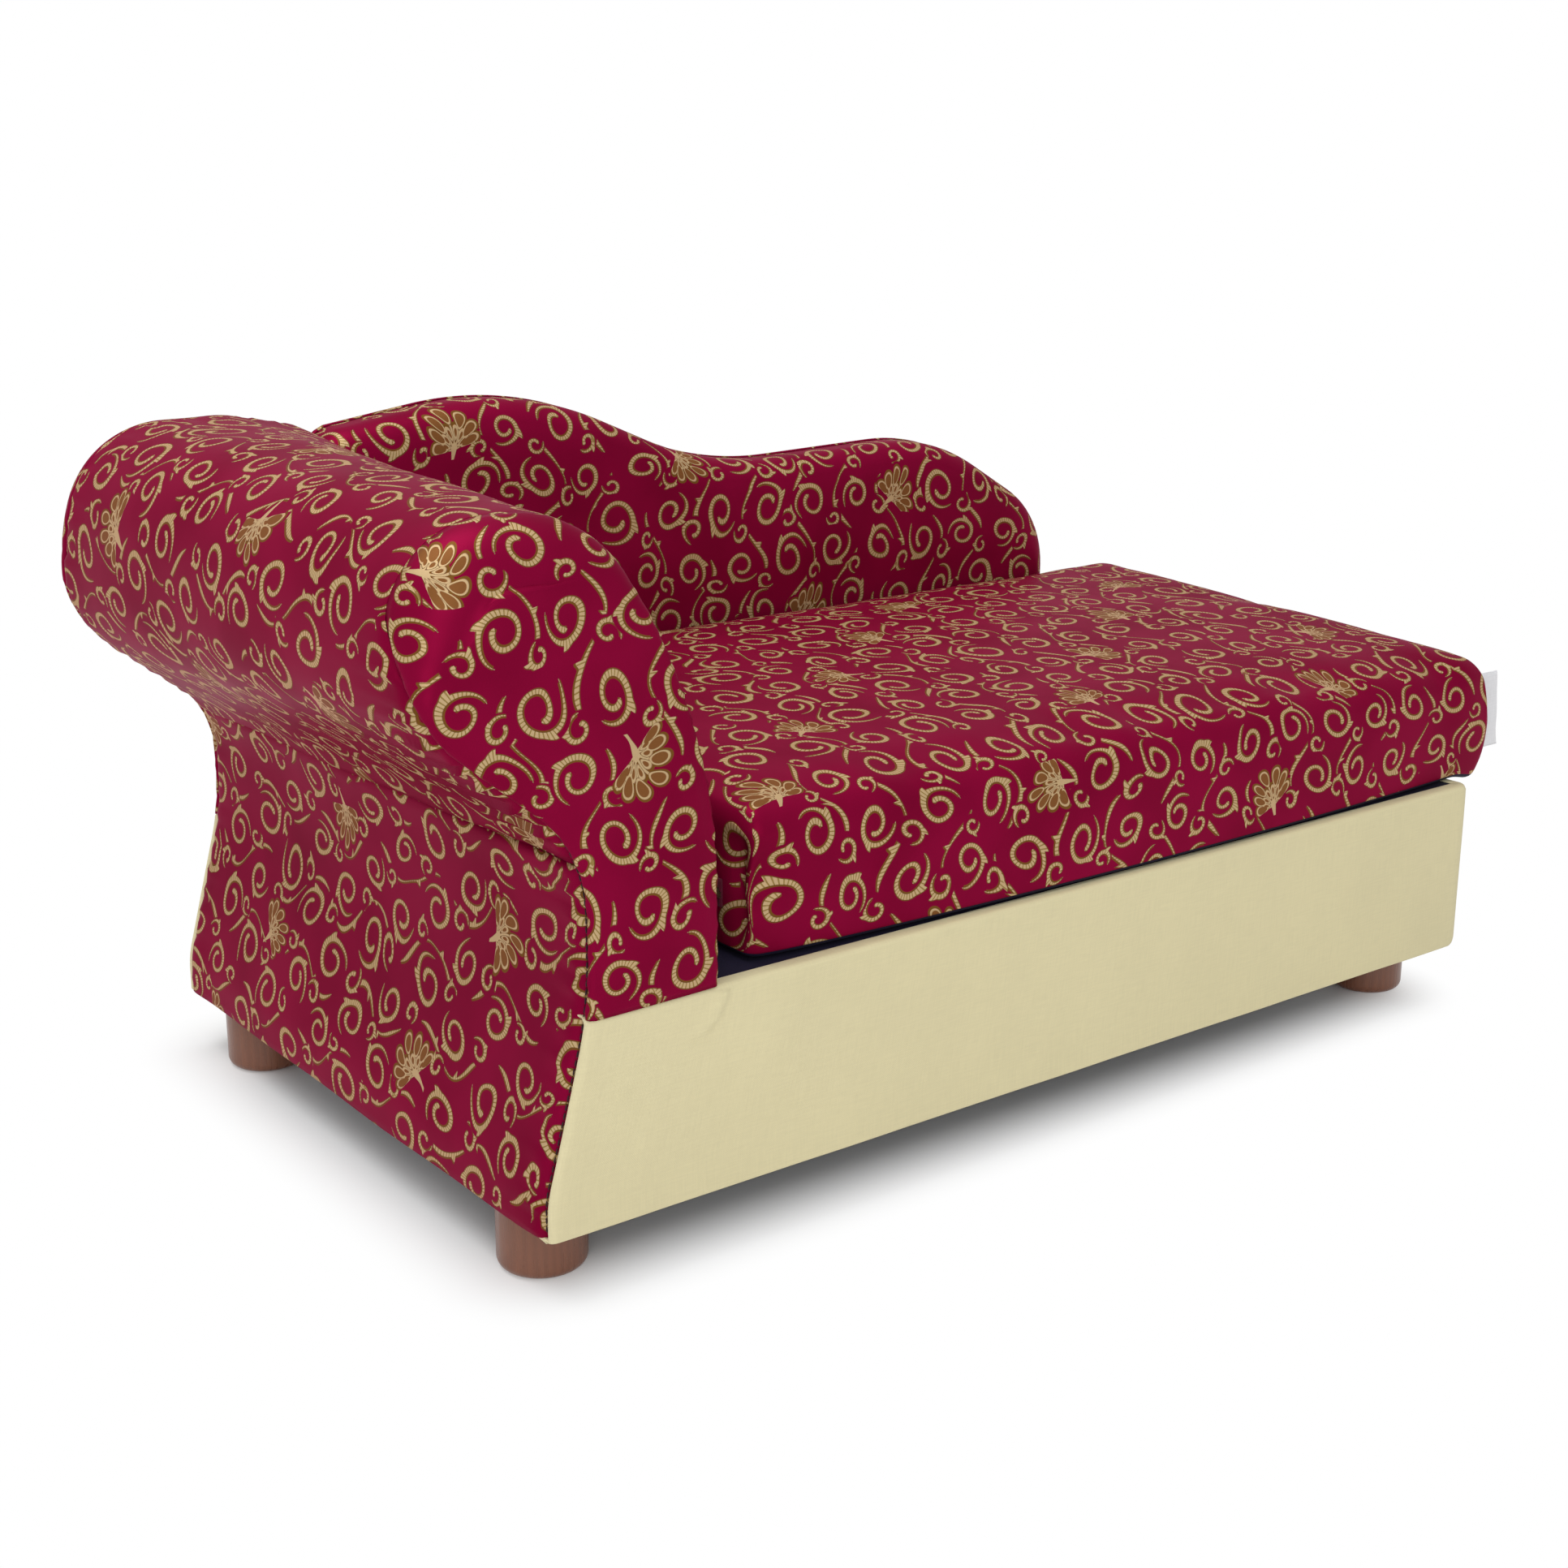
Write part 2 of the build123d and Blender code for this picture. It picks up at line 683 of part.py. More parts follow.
with BuildPart() as cushion_cover:
    add(cushion_outer)
    add(cushion_lined, mode=Mode.SUBTRACT)
    block(cushion_zone, cushion_depth, (seam_height, cushion_top), mode=Mode.INTERSECT)
    for cut in (cushion_tab, zip_tape):
        add(cut.part, mode=Mode.SUBTRACT)
save(cushion_cover, "cushion_cover")

with BuildPart() as cushion_base_cloth:
    add(cushion_outer)
    add(cushion_lined, mode=Mode.SUBTRACT)
    block(cushion_zone, cushion_depth, (0, seam_height), mode=Mode.INTERSECT)
save(cushion_base_cloth, "cushion_base_cloth")

with BuildPart() as cushion_foam:
    add(cushion_lined)
    add(cushion_tab.part, mode=Mode.SUBTRACT)
save(cushion_foam, "cushion_foam")

print("overall length", round(overall_length, 1))
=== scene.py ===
"""Looks for the pet chaise lounge: its cloth, padding, seams, zip and trim, and the stage it stands on."""

import json
from functools import reduce
from math import atan2, cos, e, hypot, pi, radians, sin, tan

import bmesh
import bpy
import numpy as np
from bpy.props import FloatProperty, FloatVectorProperty, PointerProperty
from mathutils import Matrix, Vector


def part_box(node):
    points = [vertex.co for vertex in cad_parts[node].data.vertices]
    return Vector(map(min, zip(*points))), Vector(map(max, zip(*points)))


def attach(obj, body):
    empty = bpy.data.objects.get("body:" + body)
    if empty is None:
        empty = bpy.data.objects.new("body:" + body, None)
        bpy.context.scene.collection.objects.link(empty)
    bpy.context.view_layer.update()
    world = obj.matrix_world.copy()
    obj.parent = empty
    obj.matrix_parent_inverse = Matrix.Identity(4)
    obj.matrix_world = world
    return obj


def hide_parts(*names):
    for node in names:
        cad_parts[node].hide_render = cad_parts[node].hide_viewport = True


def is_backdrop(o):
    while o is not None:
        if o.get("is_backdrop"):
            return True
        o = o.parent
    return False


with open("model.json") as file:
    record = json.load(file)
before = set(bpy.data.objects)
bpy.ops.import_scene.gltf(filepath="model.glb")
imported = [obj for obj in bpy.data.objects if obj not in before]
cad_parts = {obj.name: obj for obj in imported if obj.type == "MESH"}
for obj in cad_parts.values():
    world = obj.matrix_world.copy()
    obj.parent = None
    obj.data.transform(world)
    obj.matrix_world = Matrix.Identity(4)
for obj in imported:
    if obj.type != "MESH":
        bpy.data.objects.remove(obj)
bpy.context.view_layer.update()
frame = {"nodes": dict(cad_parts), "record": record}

bl_info = {
    "name": "Pet Chaise Lounge",
    "version": (1, 0, 0),
    "blender": (4, 5, 0),
    "location": "3D View > Sidebar > Chaise",
    "description": "Dresses the chaise frame in brocade, base cloth, padding, seams and a zipped cushion",
    "category": "Object",
}


# The frame's own sizes, in metres, from the base's lower front corner at the head end
base_low, base_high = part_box("base_cover")
origin = np.array(base_low)
base_length, base_depth, base_height = (base_high - base_low)[:]


def base_box(node):
    """The lower and upper corner of a node's box, from the base's corner."""
    return [np.array(corner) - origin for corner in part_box(node)]


back_low, back_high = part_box("back_front_cover")
arm_width = back_low.x - base_low.x
arm_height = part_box("arm_front_cover")[1].z - base_low.z
arm_back_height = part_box("arm_rear_cover")[1].z - base_low.z
roll_reach = base_low.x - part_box("arm_roll_cover")[0].x
back_front = back_low.y - base_low.y
back_end = back_high.x - base_low.x
cushion_low, cushion_high = base_box("cushion_foam")
tab_low, tab_high = base_box("cushion_tab")
tape_low, tape_high = base_box("zip_tape")
chain_low, chain_high = base_box("zip_chain")

# The covers' thickness, a seam's reach into the cloth, the outlines' spacing, and the steps of the cushion's swell
cloth = 0.0012
seam_reach = 0.0022
outline_step = 0.004
swell_steps = 20


def smooth_step(t):
    """Eases from 0 to 1 as t does."""
    t = np.clip(t, 0, 1)
    return t**2 * (3 - 2 * t)


def rising(value, start, width):
    """Eases from 0 at the start to 1 this width further on."""
    return smooth_step((value - start) / width)


def falling(value, end, width):
    """Eases from 1 to 0 over the width that leads to the end."""
    return smooth_step((end - value) / width)


def hump(value, middle, width):
    """A bell of height 1 around the middle."""
    return np.exp(-(((value - middle) / width) ** 2))


class ChaiseShape(bpy.types.PropertyGroup):
    """Sizes of the padding and cloth over the frame."""

    neck_depth: FloatProperty(
        name="Neck depth", description="How far the arm draws in under its roll", default=0.028, unit="LENGTH")
    roll_edge: FloatProperty(
        name="Roll edge", description="Soft rounding where the roll's cloth turns onto the face",
        default=0.030, unit="LENGTH")
    seam_edge: FloatProperty(
        name="Seam edge", description="Rounding of the arm's face along its seam", default=0.0065, unit="LENGTH")
    face_crown: FloatProperty(
        name="Face crown", description="How far the padded face of the arm stands proud",
        default=0.0035, unit="LENGTH")
    seam_depth: FloatProperty(
        name="Seam depth", description="How deep the sewn seams pull in", default=0.0064, unit="LENGTH")
    pleat_depth: FloatProperty(
        name="Pleat depth", description="Height of the small pleats gathered into the arm's seam",
        default=0.0026, unit="LENGTH")
    back_edge: FloatProperty(
        name="Backrest edge", description="Rounding of the backrest's top edges", default=0.020, unit="LENGTH")
    base_edge: FloatProperty(
        name="Base edge", description="Rounding of the base cloth over the deck", default=0.0034, unit="LENGTH")
    base_low_edge: FloatProperty(
        name="Base lower edge", description="Rounding of the base cloth's lower edge at the foot end",
        default=0.0050, unit="LENGTH")
    base_swell: FloatProperty(
        name="Base swell", description="How far the wadding swells the base's foot end",
        default=0.0052, unit="LENGTH")
    base_corner: FloatProperty(
        name="Base corner", description="Rounding of the base's upright corners", default=0.009, unit="LENGTH")


class CushionShape(bpy.types.PropertyGroup):
    """Sizes of the loose cushion."""

    front_height: FloatProperty(
        name="Front height", description="Cushion height above the deck at the front of the head end",
        default=0.084, unit="LENGTH")
    back_height: FloatProperty(
        name="Back height", description="Cushion height above the deck along the back", default=0.0933, unit="LENGTH")
    fall: FloatProperty(
        name="Fall", description="How much lower the front is at the foot end", default=0.0055, unit="LENGTH")
    crown: FloatProperty(name="Crown", description="How far the filling domes the top", default=0.007, unit="LENGTH")
    top_radius: FloatProperty(
        name="Top rounding", description="Rounding of the cushion's top edges", default=0.015, unit="LENGTH")
    low_radius: FloatProperty(
        name="Lower rounding", description="Rounding of the cushion's lower edges", default=0.005, unit="LENGTH")
    waist: FloatProperty(
        name="Waist", description="How far the long sides draw in between the corners", default=0.003, unit="LENGTH")
    bow: FloatProperty(
        name="Front bow", description="How far the middle of the front swells over the deck's edge",
        default=0.014, unit="LENGTH")
    base_gap: FloatProperty(
        name="Droop start", description="How far past the base's foot end the cushion starts to hang",
        default=0.004, unit="LENGTH")
    droop: FloatProperty(
        name="Droop", description="How far the foot end hangs below the deck", default=0.004, unit="LENGTH")
    end_swell: FloatProperty(
        name="End swell", description="How far the foot end swells out", default=0.011, unit="LENGTH")
    pucker: FloatProperty(
        name="Pucker", description="Depth of the wavy puckers under the front top edge",
        default=0.0026, unit="LENGTH")
    pressure: FloatProperty(
        name="Filling pressure", description="Pressure that swells the cushion in the cloth simulation",
        default=4.0, min=0)
    lip: FloatProperty(
        name="Lip", description="How far the lower cloth comes up the cushion's sides", default=0.003, unit="LENGTH")
    swell_limit: FloatProperty(
        name="Swell limit", description="Most that the filling may move the cloth", default=0.006, unit="LENGTH")


class ChaiseColours(bpy.types.PropertyGroup):
    """Colours of the cloths and woods."""

    ground: FloatVectorProperty(
        name="Brocade ground", description="Satin ground of the brocade",
        subtype="COLOR", default=(0.235, 0.0026, 0.034))
    # Painted shade: a darker copy of the satin ground, laid in random patches for the shade of its folds
    painted_ground_shade: FloatVectorProperty(
        name="Brocade shade", description="Deeper tone in the satin ground",
        subtype="COLOR", default=(0.130, 0.0010, 0.015))
    gold: FloatVectorProperty(
        name="Gold thread", description="Raised gold scrolls", subtype="COLOR", default=(0.54, 0.385, 0.205))
    # Painted shade: a darker copy of the gold thread, laid between its raised cords
    painted_gold_shade: FloatVectorProperty(
        name="Gold shade", description="Gold thread between the cords", subtype="COLOR", default=(0.30, 0.20, 0.062))
    outline: FloatVectorProperty(
        name="Olive outline", description="Brown edge beside the gold scrolls",
        subtype="COLOR", default=(0.17, 0.075, 0.014))
    base: FloatVectorProperty(
        name="Base cloth", description="Cream weave of the base", subtype="COLOR", default=(0.70, 0.63, 0.385))
    # The navy is darkened to near black: partly the cloth's own colour, partly painted shade for where it lies under
    # the cushion
    deck: FloatVectorProperty(
        name="Deck cloth", description="Navy cloth on the deck and under the cushion",
        subtype="COLOR", default=(0.0045, 0.0025, 0.020))
    tab: FloatVectorProperty(
        name="Side tab", description="White tab sewn in the cushion's corner",
        subtype="COLOR", default=(0.80, 0.80, 0.82))
    foot: FloatVectorProperty(
        name="Feet", description="Stained wood of the feet", subtype="COLOR", default=(0.20, 0.075, 0.040))


class StageSettings(bpy.types.PropertyGroup):
    """Camera, floor and lamps."""

    camera_place: FloatVectorProperty(
        name="Camera place", description="Where the camera stands",
        subtype="TRANSLATION", default=(-0.8981, -1.1178, 0.5798))
    camera_turn: FloatProperty(
        name="Camera turn", description="How far the camera looks right of straight back",
        subtype="ANGLE", default=radians(37.41))
    camera_pitch: FloatProperty(
        name="Camera pitch", description="How far the camera looks down", subtype="ANGLE", default=radians(15.91))
    camera_roll: FloatProperty(
        name="Camera roll", description="Small lean of the camera", subtype="ANGLE", default=radians(0.147))
    lens: FloatProperty(name="Lens", description="Focal length in millimetres", default=50.916, min=1)
    floor_radius: FloatProperty(
        name="Floor radius", description="Half width of the floor", default=14.0, unit="LENGTH")
    key_power: FloatProperty(name="Key lamp", description="Power of the large overhead lamp", default=32.0, min=0)
    fill_power: FloatProperty(name="Fill lamp", description="Power of the low front lamp", default=19.0, min=0)
    world_light: FloatProperty(
        name="Room light", description="Strength of the even light all round", default=0.6, min=0)


class Strand:
    """A number that a node gives; a sum with it adds a node to the same tree."""

    def __init__(self, loom, socket):
        self.loom, self.socket = loom, socket

    def __add__(self, other):
        return self.loom.math("ADD", self, other)

    def __radd__(self, other):
        return self.loom.math("ADD", other, self)

    def __sub__(self, other):
        return self.loom.math("SUBTRACT", self, other)

    def __rsub__(self, other):
        return self.loom.math("SUBTRACT", other, self)

    def __mul__(self, other):
        return self.loom.math("MULTIPLY", self, other)

    def __truediv__(self, other):
        return self.loom.math("DIVIDE", self, other)

    def __pow__(self, other):
        return self.loom.math("POWER", self, other)

    def __gt__(self, other):
        return self.loom.math("GREATER_THAN", self, other)

    def __lt__(self, other):
        return self.loom.math("LESS_THAN", self, other)

    def __abs__(self):
        return self.loom.math("ABSOLUTE", self)


class Loom:
    """Adds nodes to one tree; each input is a number, a colour or another node's output."""

    def __init__(self, tree):
        self.tree = tree

    def join(self, value, socket):
        """Links an output to a socket, or sets the socket to a plain value."""
        if isinstance(value, Strand):
            value = value.socket
        if isinstance(value, bpy.types.NodeSocket):
            self.tree.links.new(value, socket)
        else:
            socket.default_value = value

    def fill(self, node, inputs):
        """Joins values to a node's inputs, by their names or numbers."""
        for name, value in inputs.items():
            self.join(value, node.inputs[name])

    def add(self, kind, inputs=None, **settings):
        node = self.tree.nodes.new(kind)
        for name, value in settings.items():
            setattr(node, name, value)
        self.fill(node, inputs or {})
        return node

    def out(self, kind, inputs=None, **settings):
        """The first output of a new node."""
        return self.add(kind, inputs, **settings).outputs[0]

    def math(self, operation, *values):
        """A sum of numbers."""
        return Strand(self, self.out("ShaderNodeMath", dict(enumerate(values)), operation=operation))

    def vector(self, operation, *values):
        """A sum of places."""
        node = self.add("ShaderNodeVectorMath", dict(enumerate(values)), operation=operation)
        return node.outputs["Value" if operation == "LENGTH" else "Vector"]

    def scaled(self, vector, scale):
        return self.add("ShaderNodeVectorMath", {0: vector, "Scale": scale}, operation="SCALE").outputs["Vector"]

    def strands(self, node):
        """Each of a node's outputs."""
        return [Strand(self, socket) for socket in node.outputs]

    def split(self, vector):
        return self.strands(self.add("ShaderNodeSeparateXYZ", {0: vector}))

    def combine(self, x, y, z=0.0):
        return self.out("ShaderNodeCombineXYZ", {0: x, 1: y, 2: z})

    def mix(self, factor, a, b):
        return self.add("ShaderNodeMix", {0: factor, 6: a, 7: b}, data_type="RGBA").outputs[2]

    def step(self, value, low, high, to_low=0.0, to_high=1.0):
        """A smooth step of value between low and high."""
        values = dict(enumerate((value, low, high, to_low, to_high)))
        return Strand(self, self.out("ShaderNodeMapRange", values, interpolation_type="SMOOTHSTEP"))

    def noise(self, vector, scale, detail=2.0, output="Fac"):
        node = self.add("ShaderNodeTexNoise", {"Vector": vector, "Scale": scale, "Detail": detail})
        return Strand(self, node.outputs[output])

    def object_place(self):
        """The place in the object's own frame."""
        return self.add("ShaderNodeTexCoord").outputs["Object"]

    def cloth_place(self):
        """The place on the flat cloth."""
        return self.out("ShaderNodeUVMap", uv_map="cloth")

    def most(self, *values):
        """The greatest of these."""
        return reduce(lambda a, b: self.math("MAXIMUM", a, b), values)


def opaque(colour):
    return (*colour, 1.0)


def shaded(colour, by):
    """A colour made darker or lighter."""
    return tuple(min(part * by, 1.0) for part in colour)


def new_material(name):
    """A material with its own shader; returns the material, its loom and the shader."""
    material = bpy.data.materials.new(name)
    material.use_nodes = True
    loom = Loom(material.node_tree)
    shader = material.node_tree.nodes["Principled BSDF"]
    return material, loom, shader


def raise_surface(loom, shader, height, distance, strength):
    """Puts a bump of this height on a shader."""
    bump = loom.out("ShaderNodeBump", {"Height": height, "Distance": distance, "Strength": strength})
    loom.join(bump, shader.inputs["Normal"])


def two_tones(loom, shader, share, dark, light):
    """Mixes a shader's colour from two, by a share from 0 to 1."""
    loom.join(loom.mix(share, opaque(dark), opaque(light)), shader.inputs["Base Color"])


# The brocade's sizes, in millimetres: its repeat, how far its vines sway, and the length of a piece of vine
repeat_width, repeat_height = 43.0, 37.0
vine_sway = repeat_width / 4
vine_length = 83.0
leaf_turn = 0.43


def chance_at(loom, column, row, seed):
    """A node of chance numbers, the same all over one cell."""
    return loom.add("ShaderNodeTexWhiteNoise", {"Vector": loom.combine(column, row, seed)})


def cell(loom, place, seed, jitter):
    """One brick-laid cell of the pattern: the place inside it, three chance numbers, its column and row."""
    x, y = loom.split(place)[:2]
    row = loom.math("FLOOR", y / repeat_height)
    across = x / repeat_width + row * 0.5
    column = loom.math("FLOOR", across)
    red, green, blue = loom.split(chance_at(loom, column, row, seed).outputs["Color"])
    local_x = (across - column - 0.5) * repeat_width
    local_y = y - (row + 0.5) * repeat_height
    shift_x = (red - 0.5) * jitter
    shift_y = (green - 0.5) * jitter
    return local_x - shift_x, local_y - shift_y, (red, green, blue), (column, row)


def distance(loom, x, y):
    """The length of a flat vector."""
    return loom.math("SQRT", x * x + y * y)


def stroke_cover(loom, half, side):
    """A stroke's gold cover and the brown thread beside it, from its half width and the distance to its middle."""
    cover = loom.step(half - abs(side), -0.12, 0.26) * (half > 0.24)
    edge = loom.step(half + 0.72 - abs(side + 0.26), -0.1, 0.25) * (half > 0.3)
    return cover, edge


def scroll_layer(loom, place, seed, jitter, turns, growth, size, stroke):
    """Widening scrolls with a thorn, one to a cell: cover, brown edge, distance along and outside, and the cell."""
    x, y, (red, green, blue), lattice = cell(loom, place, seed, jitter)
    radius = loom.math("MAXIMUM", distance(loom, x, y), 0.05)
    hand = loom.math("SIGN", loom.math("FRACT", red * 7.31) - 0.5)
    angle = loom.math("ARCTAN2", y, x) * hand
    angle = angle / (2 * pi) + blue
    grown = green * (size[1] - size[0]) + size[0]
    raw = loom.math("LOGARITHM", radius / grown, e) / growth + turns
    lap = loom.math("ROUND", raw - angle) + angle
    lap = lap - (lap > turns)
    line = loom.math("EXPONENT", (lap - turns) * growth) * grown
    side = radius - line
    start = loom.step(lap, 0.0, 0.09)
    eye = loom.step(lap, 0.34, 0.06, 1.0, 1.32)
    end = loom.step(lap, turns, turns - 0.46) ** 0.75
    swell = loom.step(lap, turns - 1.0, turns - 0.42, 0.8, 1.16)
    half = start * eye * (end * swell * (stroke / 2))
    thorn_at = turns - 0.34
    thorn = loom.step(lap, thorn_at - 0.085, thorn_at, 0.0, 1.35) * (lap < thorn_at)
    cover, edge = stroke_cover(loom, half + thorn, side - thorn)
    along = line * (2 * pi / growth)
    return cover, edge, along, radius - grown, (x, y, blue), lattice


def vine_layer(loom, place, seed, stroke):
    """Long winding stems that run between the columns of scrolls, in pieces with thin ends and thorns."""
    x, y = loom.split(place)[:2]
    swing = (y - repeat_height / 2) * (pi / repeat_height)
    across = x - (vine_sway - loom.math("COSINE", swing) * vine_sway)
    column = loom.math("ROUND", across / repeat_width)
    side = across - column * repeat_width
    slope = loom.math("SINE", swing) * (vine_sway * pi / repeat_height)
    side = side / loom.math("SQRT", slope * slope + 1.0)
    run = y / vine_length + column * 0.38
    share = loom.math("FRACT", run)
    chance = chance_at(loom, column, loom.math("FLOOR", run), seed)
    thick = 0.62 + loom.math("SINE", share * 9.0) * 0.38
    taper = loom.step(share, 0.03, 0.2) * loom.step(share, 0.94, 0.74)
    half = thick * taper * (stroke / 2)
    hand = loom.math("SIGN", loom.math("SUBTRACT", chance.outputs["Value"], 0.5))
    thorn = None
    for spot in (0.34, 0.62):
        spike = loom.step(share, spot - 0.045, spot, 0.0, 1.5) * (share < spot)
        thorn = spike if thorn is None else thorn + spike
    cover, edge = stroke_cover(loom, half + thorn, side - thorn * hand)
    return cover, edge, y


def spray_layer(loom, x, y, chance):
    """A fanned spray of round-ended leaves: gold outlines, tan leaves, stalk, brown edge and the clear patch."""
    turn = chance * (2 * pi)
    cosine, sine = loom.math("COSINE", turn), loom.math("SINE", turn)
    along = x * cosine + y * sine + 12.5
    across = y * cosine - x * sine + loom.math("SINE", along * 0.13) * 2.6
    far = distance(loom, along, across)
    angle = loom.math("ARCTAN2", across, along)
    inside, veins = None, None
    for offset, reach, fall, length, girth, ranks in (
        (0.0, 28.5, 3.2, 7.0, 3.3, 3.4),
        (0.5, 15.5, 1.2, 4.8, 1.75, 2.9),
    ):
        rank = loom.math("ROUND", angle / leaf_turn - offset) + offset
        swing = angle - rank * leaf_turn
        ahead = far * loom.math("COSINE", swing)
        aside = abs(far * loom.math("SINE", swing))
        order = abs(rank)
        middle = reach - length - order * fall
        lead = ahead - middle
        width = girth + lead * 0.16
        depth = 1.0 - distance(loom, lead / length, aside / width)
        fanned = (order < ranks) * (ahead > 0.0)
        depth = depth * girth - (1.0 - fanned) * 9.0
        if inside is None:
            inside = depth
            veins = loom.step(aside, 0.75, 0.45) * (lead < -2.0) * fanned
        else:
            inside = loom.math("MAXIMUM", inside, depth)
    leaf = loom.step(inside, 0.72, 1.02)
    outline = loom.step(inside, 0.0, 0.3) * (1.0 - leaf)
    thick = loom.step(along, -9.0, 2.0, 0.9, 2.3)
    stalk = loom.step(thick - abs(across), -0.1, 0.3) * (along < 4.5)
    bare = 1.0 - (inside > 0.0)
    stalk = loom.most(stalk, veins * bare)
    return outline, leaf, stalk, loom.step(inside, -0.75, -0.5), loom.most(stalk, loom.step(inside, -1.9, -1.5))


def brocade_pattern():
    """The woven pattern as one node group: crimson satin with raised gold scrolls and leaf sprays."""
    tree = bpy.data.node_groups.new("brocade_pattern", "ShaderNodeTree")
    tree.interface.new_socket("Place", in_out="INPUT", socket_type="NodeSocketVector")
    for name in ("Gold", "Edge", "Leaf", "Cords", "Height"):
        tree.interface.new_socket(name, in_out="OUTPUT", socket_type="NodeSocketFloat")
    loom = Loom(tree)
    place = loom.scaled(loom.add("NodeGroupInput").outputs["Place"], 1000.0)
    drift = loom.vector("SUBTRACT", loom.noise(place, 0.016, 1.0, "Color"), (0.5, 0.5, 0.5))
    place = loom.vector("ADD", place, loom.scaled(drift, 22.0))
    large, large_edge, large_along, large_far, (x, y, blue), (column, row) = scroll_layer(
        loom, place, seed=11.0, jitter=2.0, turns=1.42, growth=0.78, size=(14.0, 17.4), stroke=2.9)
    count = (column + row * 4.0) / 11.0
    host = loom.math("FRACT", count + 0.01) < 0.05
    outline, leaf, stalk, near, clear = (part * host for part in spray_layer(loom, x, y, blue))
    unhosted, free = 1.0 - host, 1.0 - clear
    large, large_edge = large * unhosted, large_edge * unhosted
    between = loom.vector("ADD", place, (0.0, -24.7, 0.0))
    small, small_edge, small_along, small_far = scroll_layer(
        loom, between, seed=23.0, jitter=3.0, turns=1.12, growth=0.95, size=(7.2, 9.6), stroke=2.3)[:4]
    stem, stem_edge, stem_along = vine_layer(loom, place, seed=5.0, stroke=2.9)
    beyond = loom.most(host, loom.step(large_far, 0.6, 1.4)) * free
    apart = beyond * loom.step(small_far, 0.0, 0.8)
    scrolls = loom.most(large, small * beyond, stem * apart)
    edges = loom.most(large_edge, small_edge * beyond, stem_edge * apart)
    along = large_along * (large > 0.01) + (small_along * (small > 0.01) + stem_along * (stem > 0.01))
    cords = loom.step(loom.math("SINE", along * (2 * pi / 2.0)), -0.95, -0.25)
    gold = loom.most(scrolls, outline, stalk)
    edge = loom.most(edges, near) * (1.0 - gold)
    height = gold * 0.72 + scrolls * cords * 0.28 + leaf * 0.45
    output = loom.add("NodeGroupOutput")
    for name, value in (("Gold", gold), ("Edge", edge), ("Leaf", leaf), ("Cords", cords), ("Height", height)):
        loom.join(value, output.inputs[name])
    return tree


def brocade_material(colours):
    """Crimson satin brocade that follows each piece's own cloth map, in metres."""
    material, loom, shader = new_material("crimson_brocade")
    group = loom.add("ShaderNodeGroup", node_tree=brocade_pattern())
    place = loom.cloth_place()
    loom.join(place, group.inputs["Place"])
    gold, edge, leaf, cords, height = loom.strands(group)
    # The satin ground takes painted shade in random patches from this noise, which also varies its roughness
    soft = loom.noise(place, 14.0, 3.0)
    ground = loom.mix(loom.step(soft, 0.3, 0.75, 0.0, 0.45), opaque(colours.ground), opaque(colours.painted_ground_shade))
    # The gold thread takes painted shade between its raised cords
    thread = loom.mix(loom.step(cords, 0.1, 0.75), opaque(colours.painted_gold_shade), opaque(colours.gold))
    colour = loom.mix(edge, ground, opaque(colours.outline))
    colour = loom.mix(leaf, colour, (0.21, 0.085, 0.026, 1.0))
    colour = loom.mix(gold, colour, thread)
    loom.join(colour, shader.inputs["Base Color"])
    raised = loom.most(gold, leaf * 0.7)
    loom.join(raised * 0.06 + loom.step(soft, 0.2, 0.8, 0.4, 0.47), shader.inputs["Roughness"])
    loom.join(gold * 0.1 + 0.3, shader.inputs["Metallic"])
    loom.fill(shader, {"IOR": 1.10, "Specular IOR Level": 0.5, "Specular Tint": (1.0, 0.35, 0.55, 1.0)})
    raise_surface(loom, shader, height, 0.00055, 0.85)
    return material


def woven_material(name, colour, thread, depth, sheen, variation=0.06, source="cloth"):
    """A plain weave of one colour: crossing threads at their real pitch, slubs and gentle shade."""
    material, loom, shader = new_material(name)
    if source == "cloth":
        place = loom.cloth_place()
    else:
        place = loom.object_place()
    x, y, z = loom.split(place)
    if source != "cloth":
        y = y + z
    warp = loom.math("SINE", x * (2 * pi / thread))
    weft = loom.math("SINE", y * (2 * pi / thread))
    weave = warp * weft * 0.5 + 0.5
    slub = loom.noise(loom.vector("MULTIPLY", place, (900.0, 60.0, 60.0)), 1.0, 2.0)
    slub_across = loom.noise(loom.vector("MULTIPLY", place, (60.0, 900.0, 900.0)), 1.0, 2.0)
    broad = loom.noise(place, 9.0, 3.0)
    shade = (slub + slub_across) * 0.5 + broad * 0.6
    dark, light = shaded(colour, 1 - 2.4 * variation), shaded(colour, 1 + 1.6 * variation)
    two_tones(loom, shader, loom.step(shade, 0.5, 1.1), dark, light)
    loom.join(loom.step(broad, 0.2, 0.8, 0.78, 0.9), shader.inputs["Roughness"])
    loom.fill(shader, {"Sheen Weight": sheen, "Specular IOR Level": 0.25})
    height = weave + (slub + slub_across) * 0.5
    raise_surface(loom, shader, height, depth, 0.6)
    return material


